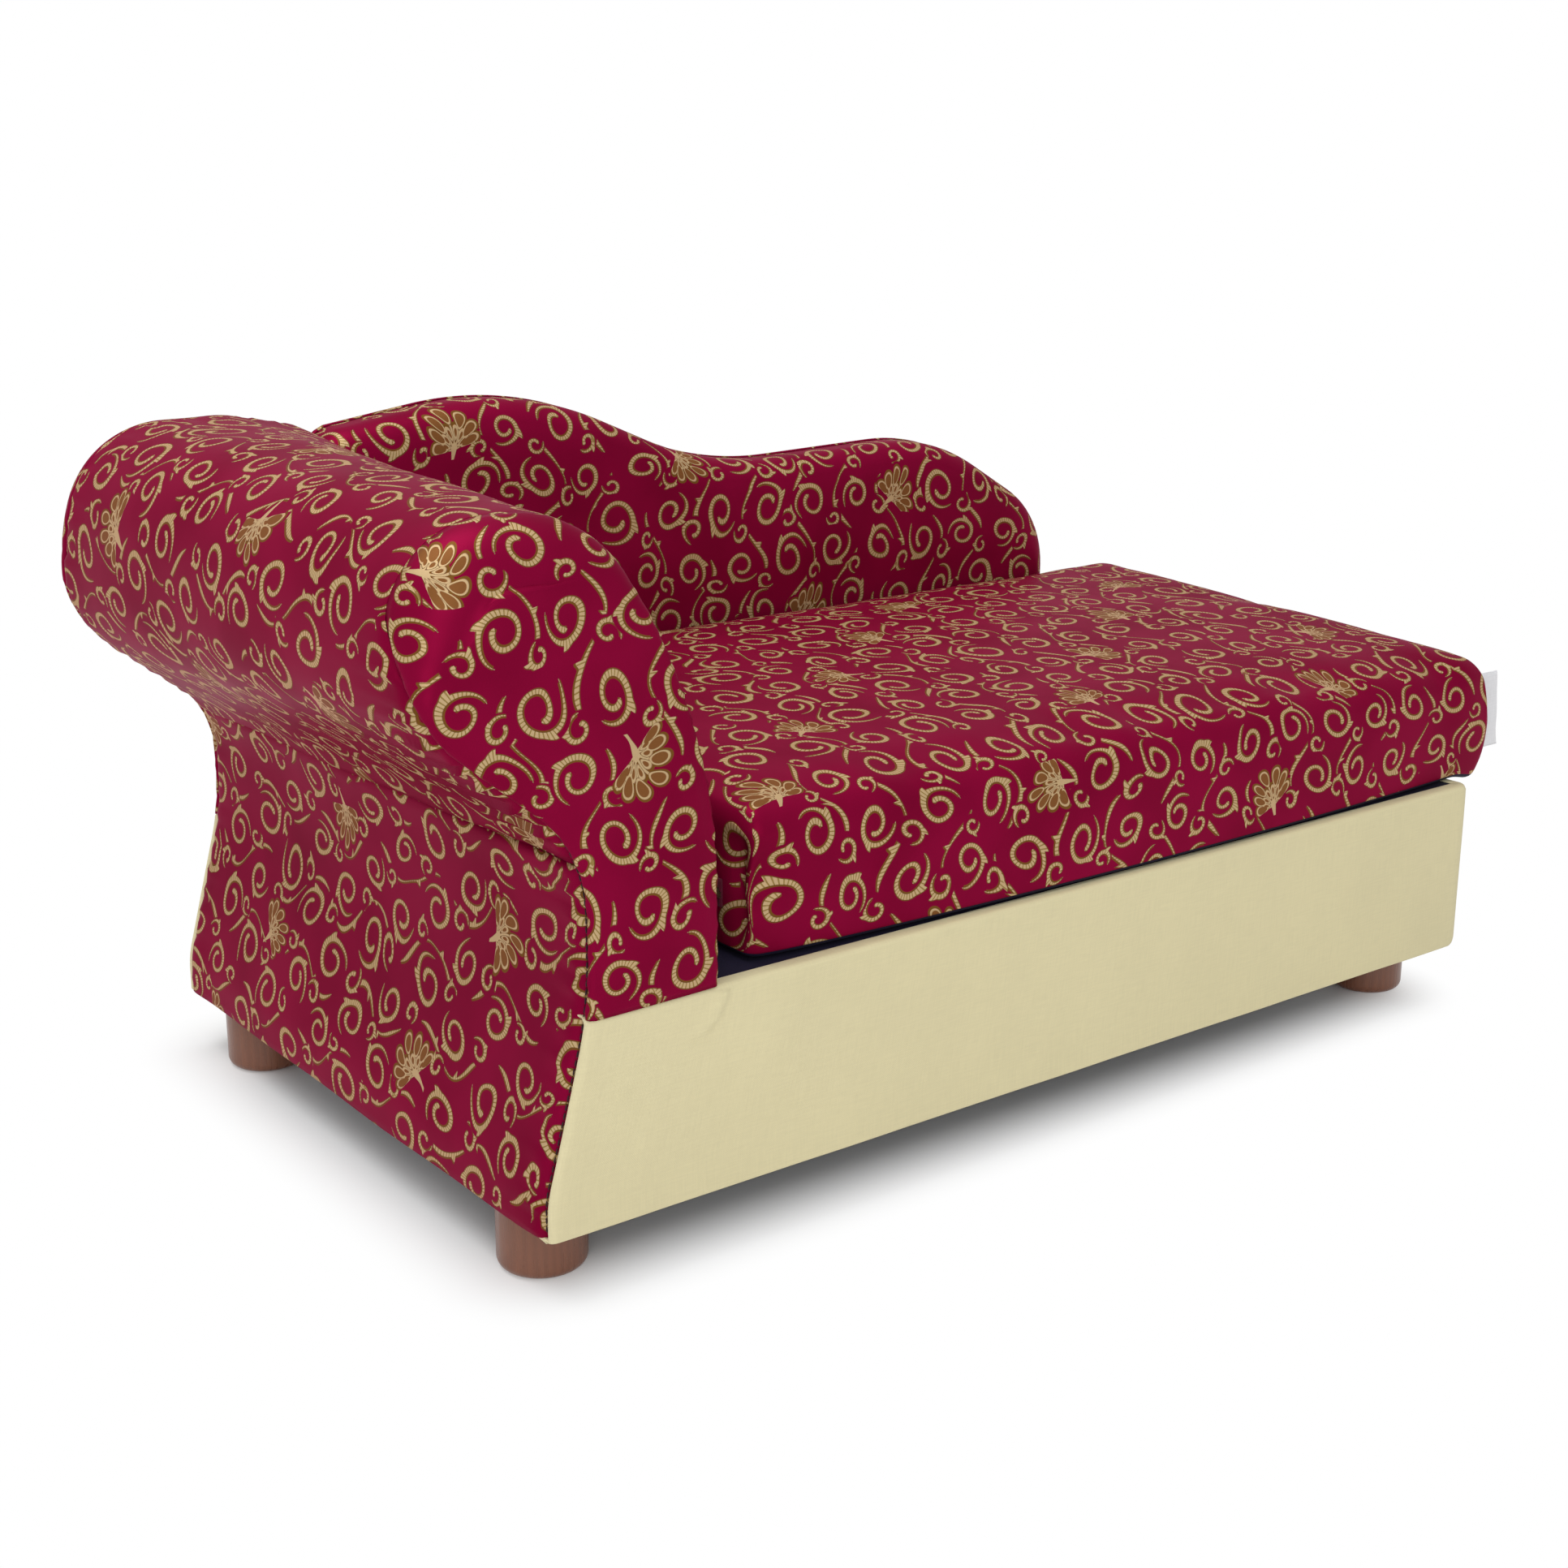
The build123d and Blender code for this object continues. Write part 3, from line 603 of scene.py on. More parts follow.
def wood_material(name, colour, along, ring=60.0, gloss=0.45, figured=1.0):
    """Stained or raw wood with grain along one axis and darker growth lines."""
    material, loom, shader = new_material(name)
    place = loom.object_place()
    stretch = [ring * 6, ring * 6, ring * 6]
    stretch["xyz".index(along)] = ring * 0.35
    grain = loom.noise(loom.vector("MULTIPLY", place, tuple(stretch)), 1.0, 4.0)
    lines = loom.add("ShaderNodeTexWave", {"Vector": place, "Scale": ring, "Distortion": 3.0, "Detail": 3.0},
        bands_direction="Z" if along != "z" else "X")
    figure = loom.math("MULTIPLY", lines.outputs["Fac"], 0.35) + grain * 0.65
    dark, light = shaded(colour, 1 - 0.4 * figured), shaded(colour, 1 + 0.25 * figured)
    two_tones(loom, shader, loom.step(figure, 0.3, 0.7), dark, light)
    loom.join(loom.step(grain, 0.3, 0.7, gloss - 0.06, gloss + 0.1), shader.inputs["Roughness"])
    raise_surface(loom, shader, grain, 0.0002, 0.5)
    return material


def metal_material(name, colour, roughness=0.35):
    """Plated metal with faint brushing and dull patches."""
    material, loom, shader = new_material(name)
    place = loom.object_place()
    brushed = loom.noise(loom.vector("MULTIPLY", place, (3000.0, 300.0, 300.0)), 1.0, 2.0)
    patch = loom.noise(place, 120.0, 2.0)
    two_tones(loom, shader, loom.step(patch, 0.35, 0.75), colour, shaded(colour, 0.7))
    shader.inputs["Metallic"].default_value = 1.0
    loom.join(loom.step(patch, 0.2, 0.8, roughness - 0.08, roughness + 0.12), shader.inputs["Roughness"])
    raise_surface(loom, shader, brushed, 0.00003, 0.4)
    return material


def foam_material(name, colour):
    """Open-celled foam."""
    material, loom, shader = new_material(name)
    place = loom.object_place()
    cells = loom.add("ShaderNodeTexVoronoi", {"Vector": place, "Scale": 900.0}).outputs["Distance"]
    two_tones(loom, shader, loom.step(cells, 0.1, 0.6), colour, shaded(colour, 0.75))
    shader.inputs["Roughness"].default_value = 0.9
    raise_surface(loom, shader, cells, 0.0004, 0.7)
    return material


def add_object(name, data):
    """Puts an object with this data in the scene."""
    made = bpy.data.objects.new(name, data)
    bpy.context.scene.collection.objects.link(made)
    return made


def settle(points):
    """Places in the base's own frame, put where the packed frame has them."""
    return np.asarray(points, float).reshape(-1, 3) + origin


def make_piece(name, points, faces, cloth_map=None, material=None, smooth=True):
    """A mesh object whose place is in its points; cloth_map gives each point its place on the flat cloth."""
    mesh = bpy.data.meshes.new(name)
    mesh.from_pydata([tuple(p) for p in settle(points)], [], [tuple(int(i) for i in f) for f in faces])
    mesh.update()
    if cloth_map is not None:
        layer = mesh.uv_layers.new(name="cloth")
        places = np.asarray(cloth_map, float).reshape(-1, 2)
        corners = np.zeros(len(mesh.loops), np.int32)
        mesh.loops.foreach_get("vertex_index", corners)
        layer.data.foreach_set("uv", places[corners].astype(np.float32).ravel())
    mesh.polygons.foreach_set("use_smooth", [smooth] * len(mesh.polygons))
    if material:
        mesh.materials.append(material)
    return add_object(name, mesh)


def grid_faces(rows, columns, start=0, turned=False):
    """Square faces over a grid of points stored row by row."""
    faces = []
    for r in range(rows - 1):
        for c in range(columns - 1):
            a = start + r * columns + c
            face = (a, a + 1, a + columns + 1, a + columns)
            faces.append(face[::-1] if turned else face)
    return faces


def modify(piece, kind, **settings):
    """Adds a modifier with these settings and applies it."""
    modifier = piece.modifiers.new(kind.title(), kind)
    for name, value in settings.items():
        setattr(modifier, name, value)
    apply_modifiers(piece)


def thicken(piece, thickness=0.0008):
    """Gives a cloth its thickness, inwards."""
    modify(piece, "SOLIDIFY", thickness=thickness, offset=-1.0)


def apply_modifiers(piece):
    """Turns a piece and its modifiers into one plain mesh."""
    view = bpy.context.evaluated_depsgraph_get()
    evaluated = piece.evaluated_get(view)
    mesh = bpy.data.meshes.new_from_object(evaluated, preserve_all_data_layers=True, depsgraph=view)
    old = piece.data
    piece.modifiers.clear()
    piece.data = mesh
    mesh.name = piece.name
    bpy.data.meshes.remove(old)


def bound(piece, body, slot, *nodes):
    """Ties a finished piece to its body and hides the CAD nodes it stands for. Its slot, the finish, is not used."""
    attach(piece, body)
    if nodes:
        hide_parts(*nodes)
    return piece


def rounded_line(corners, shares, step, counts=None):
    """Points along a line whose inner corners are rounded into a share of their shorter run."""
    corners = [np.array(c, float) for c in corners]
    pieces, used, at = [], [], corners[0]
    for n, share in enumerate(shares, 1):
        before, here, after = corners[n - 1], corners[n], corners[n + 1]
        come, go = here - before, after - here
        reach = share * min(hypot(*come), hypot(*go))
        come, go = come / hypot(*come), go / hypot(*go)
        start, end = here - come * reach, here + go * reach
        pieces.append(("run", at, start, None, None))
        turn = atan2(come[0] * go[1] - come[1] * go[0], come @ go)
        radius = reach / tan(abs(turn) / 2)
        pieces.append(("arc", start, come, turn, radius))
        at = end
    pieces.append(("run", at, corners[-1], None, None))
    points = [pieces[0][1]]
    for n, (kind, a, b, turn, radius) in enumerate(pieces):
        length = hypot(*(b - a)) if kind == "run" else abs(turn) * radius
        count = counts[n] if counts else max(2, round(length / step))
        used.append(count)
        for k in range(1, count + 1):
            if kind == "run":
                points.append(a + (b - a) * k / count)
            else:
                swing = turn * k / count
                side = np.array([-b[1], b[0]]) * np.sign(turn)
                middle = a + side * radius
                arm = a - middle
                turned = arm[0] * cos(swing) - arm[1] * sin(swing), arm[0] * sin(swing) + arm[1] * cos(swing)
                points.append(middle + np.array(turned))
    return np.array(points), used


# How much of its shorter run each corner's rounding takes, up the arm's outer side and over the roll
outer_round_shares = (0.19, 0.33, 0.42, 0.30, 0.62)


def scroll_corners(shape, height, brow, shoulder, elbow, throat, roll_foot):
    """Corners of the arm's section, from the outer foot over the roll to the inner foot."""
    low = -0.020
    return [
        (0, low),
        (0, 0.022),
        (shape.neck_depth, 0.33 * arm_height),
        (shape.neck_depth, throat * arm_height),
        (-roll_reach, roll_foot * height),
        (-roll_reach, height),
        (brow * arm_width, height),
        (shoulder[0] * arm_width, shoulder[1] * height),
        (arm_width, elbow * height),
        (arm_width, low),
    ]


def arm_sections(shape):
    """Front and back sections of the arm with matching points."""
    front, counts = rounded_line(
        scroll_corners(shape, arm_height, 0.363, (0.78, 0.798), 0.567, 0.548, 0.751),
        outer_round_shares + (0.38, 0.52, 0.42), outline_step)
    back, _ = rounded_line(
        scroll_corners(shape, arm_back_height, 0.40, (0.94, 0.969), 0.787, 0.505, 0.685),
        outer_round_shares + (0.19, 0.22, 0.085), outline_step, counts)
    return front, back


def lengths_along(line):
    """How far along the line each of its points lies."""
    return np.r_[0, np.cumsum(np.hypot(*np.diff(line, axis=0).T))]


def points_at(line, at):
    """The line's points at these distances along it."""
    return np.stack([np.interp(at, lengths_along(line), line[:, k]) for k in (0, 1)], 1)


class ArmForm:
    """Part of the arm's section, between a height on its outer side and one further on, at any depth."""

    def __init__(self, shape, start_height, end_height, count, over_roll=True):
        front, back = arm_sections(shape)
        sections = []
        for line in (front, back):
            steps = lengths_along(line)
            half = len(line) // 2
            first = np.interp(start_height, line[: half // 2, 1], steps[: half // 2])
            if over_roll:
                last = np.interp(end_height, line[half:, 1][::-1], steps[half:][::-1])
            else:
                last = np.interp(end_height, line[: half // 2 + 6, 1], steps[: half // 2 + 6])
            at = np.linspace(first, last, count)
            sections.append(points_at(line, at))
            if len(sections) == 1:
                self.lengths = at
        self.front, self.back = sections
        self.edge = edge_rounding(shape, self.front)
        self.pull = seam_pull(shape, self.front)
        self.rear_edge = edge_rounding(shape, self.back) * 0.85
        self.rear_pull = seam_pull(shape, self.back) * 0.6
        self.out = self.outward(self.front)

    @staticmethod
    def outward(line):
        along = np.gradient(line, axis=0)
        along /= np.hypot(*along.T)[:, None]
        return np.stack([-along[:, 1], along[:, 0]], 1)

    def section(self, depth):
        """Places along the section at one depth, or at a depth for each point."""
        t = (np.broadcast_to(depth, len(self.front)) / base_depth)[:, None]
        return self.front * (1 - t) + self.back * t


def edge_rounding(shape, line):
    """How wide the face's edge is rounded along the section: soft over the roll, tight along the seams."""
    soft = rising(line[:, 1], 0.275, 0.06) * falling(line[:, 0], 0.085, 0.07)
    return shape.seam_edge + (shape.roll_edge - shape.seam_edge) * soft


def seam_pull(shape, line):
    """How deep the seam pulls in along the section: full up the outer side, none over the soft roll."""
    soft = rising(line[:, 1], 0.3, 0.04) * falling(line[:, 0], 0.09, 0.05)
    return shape.seam_depth * (1 - 0.97 * soft)


def pleats(along, seed, spacing=0.0125):
    """Uneven small waves along a seam, from about -1 to 1."""
    chance = np.random.default_rng(seed)
    wave = np.zeros_like(along)
    for pitch, size in ((1.0, 0.55), (1.73, 0.3), (0.58, 0.35)):
        phase = along / (spacing * pitch) * 2 * pi + chance.uniform(0, 2 * pi)
        wave += size * np.sin(phase + 1.5 * np.sin(along * 23 * pitch))
    return wave


def arm_face(form, shape, front):
    """Points, faces and cloth map of one padded end face of the arm, rounded out to its edge."""
    line = form.front if front else form.back
    out = form.outward(line)
    width = form.edge if front else form.rear_edge
    pull = form.pull if front else form.rear_pull
    wave = pleats(form.lengths, 3 if front else 5) * shape.pleat_depth * 0.5 * pull / shape.seam_depth
    turns, count = 9, len(line)
    rings, maps, faces = [], [], []
    for k in range(turns + 1):
        angle = pi / 2 * (1 - k / turns)
        into = width * (1 - cos(angle))
        section = form.section(into if front else base_depth - into)
        spread = width * (pi / 2 - angle)
        inward = width * (1 - sin(angle)) + pull * np.exp(-spread / seam_reach)
        ripple = wave * sin(min(1.0, k / turns * 1.3) * pi)
        place = section - out * inward[:, None]
        rings.append(np.stack([place[:, 0], into - ripple, place[:, 1]], 1))
        maps.append(line - out * (width - width * angle)[:, None])
        if k:
            faces += grid_faces(2, count, (k - 1) * count, True)
    inner, inner_map = rings[-1], maps[-1]
    half, rows = count // 2, 26
    interior, interior_map = [], []
    start, ring_start = (turns + 1) * count, turns * count
    for i in range(half):
        left, right = inner[i], inner[count - 1 - i]
        rise = float(falling(i, half, 9.0) * smooth_step((i + 2.0) / 10.0))
        for j in range(1, rows):
            t = j / rows
            place = left * (1 - t) + right * t
            dome = (4 * t * (1 - t)) ** 0.6 * rise * shape.face_crown
            slack = 0.0007 * sin(place[0] * 61 + place[2] * 37) * sin(place[2] * 71 - place[0] * 23) * rise
            interior.append(place - [0, dome + slack, 0])
            interior_map.append(inner_map[i] * (1 - t) + inner_map[count - 1 - i] * t)

    def at(i, j):
        if j == 0:
            return ring_start + i
        if j == rows:
            return ring_start + count - 1 - i
        return start + i * (rows - 1) + j - 1

    for i in range(half - 1):
        for j in range(rows):
            faces.append((at(i, j), at(i, j + 1), at(i + 1, j + 1), at(i + 1, j)))
    if count % 2:
        faces += [(at(half - 1, j), at(half - 1, j + 1), ring_start + half) for j in range(rows)]
    points = np.concatenate(rings + [np.array(interior)])
    cloth_map = np.concatenate(maps + [np.array(interior_map)])
    if not front:
        points[:, 1] = base_depth - points[:, 1]
        faces = [f[::-1] for f in faces]
        cloth_map = cloth_map * [-1, 1] + [0.37, 0.11]
    return points, faces, cloth_map


# Where the side cloth's first rows of points lie, from its seam
lead = np.array([0, 0.0007, 0.0015, 0.0025, 0.0038, 0.0055, 0.0078, 0.0108, 0.0145, 0.019])


def arm_side(form, shape, start_seam, end_seam, seed):
    """Points, faces and cloth map of the cloth round the arm's side, from its front seam to its back one."""
    count = len(form.front)
    run = base_depth - 2 * shape.seam_edge
    shares = np.concatenate([lead / run, np.linspace(0.026 / run, 1 - 0.026 / run, 52), 1 - lead[::-1] / run])
    wave_front, wave_back = pleats(form.lengths, 3), pleats(form.lengths, 5)
    from_start = form.lengths - form.lengths[0]
    from_end = form.lengths[-1] - form.lengths
    edge_pull = start_seam * np.exp(-from_start / 0.003) + end_seam * np.exp(-from_end / 0.003)
    neck = hump(form.front[:, 1], 0.235, 0.06) * (form.front[:, 0] < 0.03)
    points, maps = [], []
    for share in shares:
        y = form.edge + (base_depth - form.edge - form.rear_edge) * share
        near, far = y - form.edge, base_depth - form.rear_edge - y
        pull = form.pull * np.exp(-near / seam_reach) + form.rear_pull * np.exp(-far / seam_reach)
        fade = near / 0.007 * np.exp(1 - near / 0.007) + neck * 0.9 * near / 0.022 * np.exp(1 - near / 0.022)
        gather = wave_front * shape.pleat_depth * 0.7 * form.pull / shape.seam_depth * fade
        gather += wave_back * shape.pleat_depth * 0.4 * far / 0.007 * np.exp(1 - far / 0.007)
        slack = 0.0009 * np.sin(form.lengths * 31 + y * 13 + seed) * np.sin(y * 27 - form.lengths * 11)
        slack = slack * np.minimum(1, near / 0.03) * np.minimum(1, far / 0.03)
        line = form.section(y) - form.out * (pull + edge_pull - gather - slack)[:, None]
        points.append(np.stack([line[:, 0], y, line[:, 1]], 1))
        maps.append(np.stack([form.lengths, y], 1))
    return np.concatenate(points), grid_faces(len(shares), count), np.concatenate(maps)


def make_arm(shape, brocade):
    """The arm's four cloths: padded front face, roll, outer panel and rear face."""
    split = 0.196
    faces_form = ArmForm(shape, base_height, base_height, 171)
    pieces = []
    for name, front, nodes in (
        ("arm_front_padding", True, ("arm_front_cover", "arm_face_foam")),
        ("arm_rear_padding", False, ("arm_rear_cover", "arm_rear_foam")),
    ):
        points, faces, cloth_map = arm_face(faces_form, shape, front)
        pieces.append((make_piece(name, points, faces, cloth_map + [0.02, 0.03], brocade), nodes))
    roll = ArmForm(shape, split, base_height, 150)
    points, faces, cloth_map = arm_side(roll, shape, shape.seam_depth * 0.7, 0.0, 0.4)
    top = int(np.argmin(np.abs(roll.front[:, 0]) + (roll.front[:, 1] < 0.35)))
    up = arm_height - (1 - pi / 2) * shape.roll_edge - shape.roll_edge + 0.03
    cloth_map = cloth_map + [roll.front[top, 0] - roll.lengths[top] + 0.02, up]
    piece = make_piece("arm_roll_padding", points, faces, cloth_map, brocade)
    pieces.append((piece, ("arm_roll_cover", "arm_wrap_foam")))
    panel = ArmForm(shape, 0.0, split, 44, over_roll=False)
    points, faces, cloth_map = arm_side(panel, shape, 0.0, shape.seam_depth * 0.7, 1.7)
    count = len(panel.front)
    under, under_map = [], []
    rows = len(points) // count
    for r in range(rows):
        x, y, z = points[r * count]
        for n, (step, drop) in enumerate(((0.0004, 0.0006), (0.0014, 0.0009), (0.010, 0.0005))):
            under.append((x + step, y, z - drop))
            under_map.append(cloth_map[r * count] - [step + 0.001, 0])
    start = len(points)
    for r in range(rows - 1):
        a, b = start + r * 3, start + (r + 1) * 3
        faces.append((a, r * count, (r + 1) * count, b))
        faces += [(a + n + 1, a + n, b + n, b + n + 1) for n in (0, 1)]
    points, cloth_map = np.concatenate([points, under]), np.concatenate([cloth_map, under_map])
    piece = make_piece("arm_outer_panel_cloth", points, faces, cloth_map * [1, -1] + [0.013, 0.43], brocade)
    pieces.append((piece, ("arm_outer_cover",)))
    for piece, nodes in pieces:
        thicken(piece)
        bound(piece, "frame", "brocade", *nodes)


# The same for the corners of the backrest's wave
back_shares = (0.525, 0.36, 0.355, 0.31)


def wave_line():
    """The backrest's waved outline, from the arm over the crest and tail and down its end."""
    run = back_end - arm_width
    corners = [(0, 0.3670), (0.2166, 0.3878), (0.4726, 0.3189), (0.8115, 0.3263), (1, 0.2565), (1, -0.020)]
    line, _ = rounded_line([(arm_width + x * run, z) for x, z in corners], back_shares, outline_step)
    line = line[line[:, 1] > base_height]
    hidden = np.array([(arm_width - 0.024, 0.347), (arm_width - 0.014, 0.357), (arm_width - 0.006, 0.3635)])
    return np.concatenate([hidden, line, [[back_end, base_height]]])


def make_backrest(shape, brocade):
    """The padded backrest: front cloth turned over its waved top, and a flat rear cloth."""
    line, count = wave_line(), 126
    line = points_at(line, np.linspace(0, lengths_along(line)[-1], count))
    out = ArmForm.outward(line)
    out[0] = out[1]
    out /= np.hypot(*out.T)[:, None]
    radius = shape.back_edge
    share = lengths_along(line)
    share /= share[-1]
    base = np.stack([arm_width - 0.02 + (back_end - 0.14 - arm_width) * share, np.full(count, base_height)], 1)
    rows = 30
    for name, front, nodes in (
        ("backrest_padding", True, ("back_front_cover", "back_padding")),
        ("backrest_rear_cloth", False, ("back_rear_cover",)),
    ):
        points, maps = [], []
        edge = line - out * radius
        for r in range(rows + 1):
            t = r / rows
            flat = base * (1 - t) + edge * t
            above = rising(flat[:, 1], 0.212, 0.05)
            bulge = 0.0035 * sin(pi * min(1.0, t * 0.9 + 0.05)) ** 0.7 * above if front else 0.001 * sin(pi * t)
            x, z = flat.T
            slack = 0.0013 * above * np.sin(x * 34 + z * 17) * np.sin(z * 45 - x * 9) * sin(pi * t) if front else 0
            points.append(np.stack([x, np.zeros(count) - bulge - slack, z], 1))
            maps.append(flat)
        last = 10
        for k in range(1, last + 1):
            angle = pi / 2 * k / last
            place = edge + out * (radius * sin(angle))
            points.append(np.stack([place[:, 0], np.full(count, radius * (1 - cos(angle))), place[:, 1]], 1))
            maps.append(edge + out * (radius * angle))
        across = back_depth() / 2 - radius + (0.012 if front else -0.012)
        for k in range(1, 5):
            pull = 0.0009 * np.exp(-(4 - k) * 1.2)
            place = line - out * pull
            points.append(np.stack([place[:, 0], np.full(count, radius + across * k / 4), place[:, 1]], 1))
            maps.append(edge + out * (radius * pi / 2 + across * k / 4))
        points, maps = np.concatenate(points), np.concatenate(maps)
        if front:
            points[:, 1] += back_front
            faces = grid_faces(rows + last + 5, count)
        else:
            points[:, 1] = base_depth - points[:, 1]
            faces = grid_faces(rows + last + 5, count, 0, True)
            maps = maps * [-1, 1] + [0.9, 0.05]
        piece = make_piece(name, points, faces, maps + [0.31, 0.47], brocade)
        thicken(piece)
        bound(piece, "frame", "brocade", *nodes)


def back_depth():
    """Thickness of the backrest from front to back."""
    return base_depth - back_front


def base_columns(shape, heights):
    """Upright lines of points round the base, from the arm's front seam to its rear one, each with its way out."""
    form = ArmForm(shape, 0.0, base_height, 60, over_roll=False)
    left_front, left_back = (np.interp(heights, line[:, 1], line[:, 0]) for line in (form.front, form.back))
    edge, corner, turns = shape.seam_edge, shape.base_corner, 7
    ends = base_length - corner
    columns = []

    def column(x, y, out):
        columns.append((np.zeros(len(heights)) + x, np.zeros(len(heights)) + y, out))

    for k in range(turns):
        angle = pi / 2 * (1 - k / turns)
        pull = shape.seam_depth * np.exp(-edge * (pi / 2 - angle) / seam_reach)
        inward = edge * (1 - sin(angle)) + pull
        column(left_front + inward, edge * (1 - cos(angle)), (0, -1))
    for t in np.concatenate([np.linspace(0, 0.2, 56), np.linspace(0.2, 1, 60)[1:]]):
        column((left_front + edge) * (1 - t) + ends * t, 0, (0, -1))
    bend = [pi / 2 * k / 8 for k in range(1, 9)]
    for a in bend:
        column(ends + corner * sin(a), corner * (1 - cos(a)), (sin(a), -cos(a)))
    for t in np.linspace(0, 1, 50)[1:]:
        column(base_length, corner + (base_depth - 2 * corner) * t, (1, 0))
    for a in bend:
        column(ends + corner * cos(a), base_depth - corner * (1 - sin(a)), (cos(a), sin(a)))
    for t in np.linspace(0, 1, 90)[1:]:
        column(ends * (1 - t) + (left_back + edge) * t, base_depth, (0, 1))
    for k in range(1, turns + 1):
        angle = pi / 2 * k / turns
        inward = edge - edge * sin(angle) + shape.seam_depth * 0.6 * np.exp(-edge * (pi / 2 - angle) / seam_reach)
        column(left_back + inward, base_depth - edge * (1 - cos(angle)), (0, 1))
    return columns


def roll_tuck(x, heights):
    """The fold in the base's front, round the lower end of the arm's scroll."""
    off = np.hypot(x - 0.088, heights - base_height) - 0.026
    tuck = 0.0017 * smooth_step((off + 0.010) / 0.008) * falling(off, 0.0012, 0.0012)
    tuck = tuck - 0.0003 * hump(off, 0.0025, 0.002)
    return tuck * rising(x, 0.082, 0.02) * falling(x, 0.13, 0.015)


def make_base_cover(shape, weave):
    """The cream cloth round the base, turned under its lower edge and in over the deck's edge."""
    top = shape.base_edge
    heights = np.concatenate(
        [[0.0, 0.0008, 0.0022], np.linspace(0.0045, 0.07, 14), np.linspace(0.0725, base_height - top, 17)])
    low_share = np.clip(heights / shape.base_low_edge, 0, 1)
    padding = shape.base_swell * (np.sqrt(1 - (1 - low_share) ** 2) - 0.45 * (heights / base_height) ** 3)
    under = np.array([(-0.010, 0.0002), (-0.0014, -0.0005), (-0.0004, -0.0003)])
    over = [(-top * (1 - cos(a)), base_height - top + top * sin(a)) for a in np.linspace(0, pi / 2, 6)[1:]]
    over = np.array(over + [(-top - 0.006, base_height + 0.00005), (-top - 0.0075, base_height - 0.0004)])
    at = np.r_[[0] * len(under), np.arange(len(heights)), [-1] * len(over)]
    z = np.r_[under[:, 1], heights, over[:, 1]]
    up_the_cloth = np.r_[under.sum(1), heights, base_height + np.arange(len(over)) * 0.0012]
    along, points, maps, previous = 0.0, [], [], None
    for x, y, (nx, ny) in base_columns(shape, heights):
        x = x + max(nx, 0) * padding
        if previous is not None:
            along += hypot(x[10] - previous[0], y[10] - previous[1])
        previous = (x[10], y[10])
        ripple = 0.00055 * np.sin(along * 95 + 2 * np.sin(along * 17)) * np.sin(pi * heights / base_height) ** 0.5
        ripple += 0.0004 * np.sin(along * 38 + heights * 31)
        if ny == -1:
            ripple = np.maximum(ripple, 0) + roll_tuck(x, heights)
        shift = np.r_[under[:, 0], ripple, over[:, 0]]
        points.append(np.stack([x[at] + nx * shift, y[at] + ny * shift, z], 1))
        maps.append(np.stack([np.full(len(z), along), up_the_cloth], 1))
    faces = grid_faces(len(points), len(z), 0, True)
    cover = make_piece("base_cream_cloth", points, faces, maps, weave)
    thicken(cover)
    bound(cover, "frame", "base_weave", "base_cover")


def make_deck(weave):
    """The navy cloth over the deck, clear of the arm's padding."""
    xs, ys = np.linspace(0.098, base_length - 0.006, 80), np.linspace(0.0040, base_depth - 0.04, 46)
    points = [
        (x, y if x > arm_width else max(y, 0.036), base_height - 0.0003 + 0.0002 * sin(x * 60) * sin(y * 50))
        for y in ys for x in xs]
    deck = make_piece("deck_navy_cloth", points, grid_faces(len(ys), len(xs)), [p[:2] for p in points], weave)
    thicken(deck)
    bound(deck, "frame", "deck_weave", "deck_cloth")


def make_lining(weave):
    """The dust cloth stapled under the base, a little slack, with holes for the feet."""
    low, high = base_box("dust_cover")
    xs, ys = np.linspace(low[0], high[0], 110), np.linspace(low[1], high[1], 66)
    names = [n for n in frame["nodes"] if n.startswith("foot_") and n not in ("foot_bolts", "foot_inserts")]
    feet = [sum(np.array(corner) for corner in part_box(name)) / 2 - origin for name in names]
    keep, points = [], []
    for y in ys:
        for x in xs:
            gap = min(hypot(x - foot[0], y - foot[1]) for foot in feet)
            sag = 0.0016 * sin(pi * (x - low[0]) / (high[0] - low[0])) ** 0.4
            sag = sag * sin(pi * (y - low[1]) / (high[1] - low[1])) ** 0.4
            points.append((x, y, -0.0002 - sag * min(1, max(0, gap - 0.03) / 0.06)))
            keep.append(gap > 0.0265)
    faces = [f for f in grid_faces(len(ys), len(xs), 0, True) if all(keep[i] for i in f)]
    dust = make_piece("dust_lining", points, faces, [p[:2] for p in points], weave)
    drop_loose(dust)
    thicken(dust, 0.0005)
    bound(dust, "frame", "dust_cloth", "dust_cover")


def drop_loose(piece):
    """Removes points that no face uses."""
    made = bmesh.new()
    made.from_mesh(piece.data)
    bmesh.ops.delete(made, geom=[v for v in made.verts if not v.link_faces], context="VERTS")
    made.to_mesh(piece.data)
    made.free()


def rounded_spots(length, radius_start, radius_end, step):
    """Places of lattice lines along one side of a box, close together where its edges are rounded."""
    start = [radius_start * (1 - tan(radians(a))) for a in (45, 36, 27, 18, 9)]
    end = [length - radius_end * (1 - tan(radians(a))) for a in (9, 18, 27, 36, 45)]
    count = max(2, round((length - radius_start - radius_end) / step))
    return np.concatenate([start, np.linspace(radius_start, length - radius_end, count + 1), end])


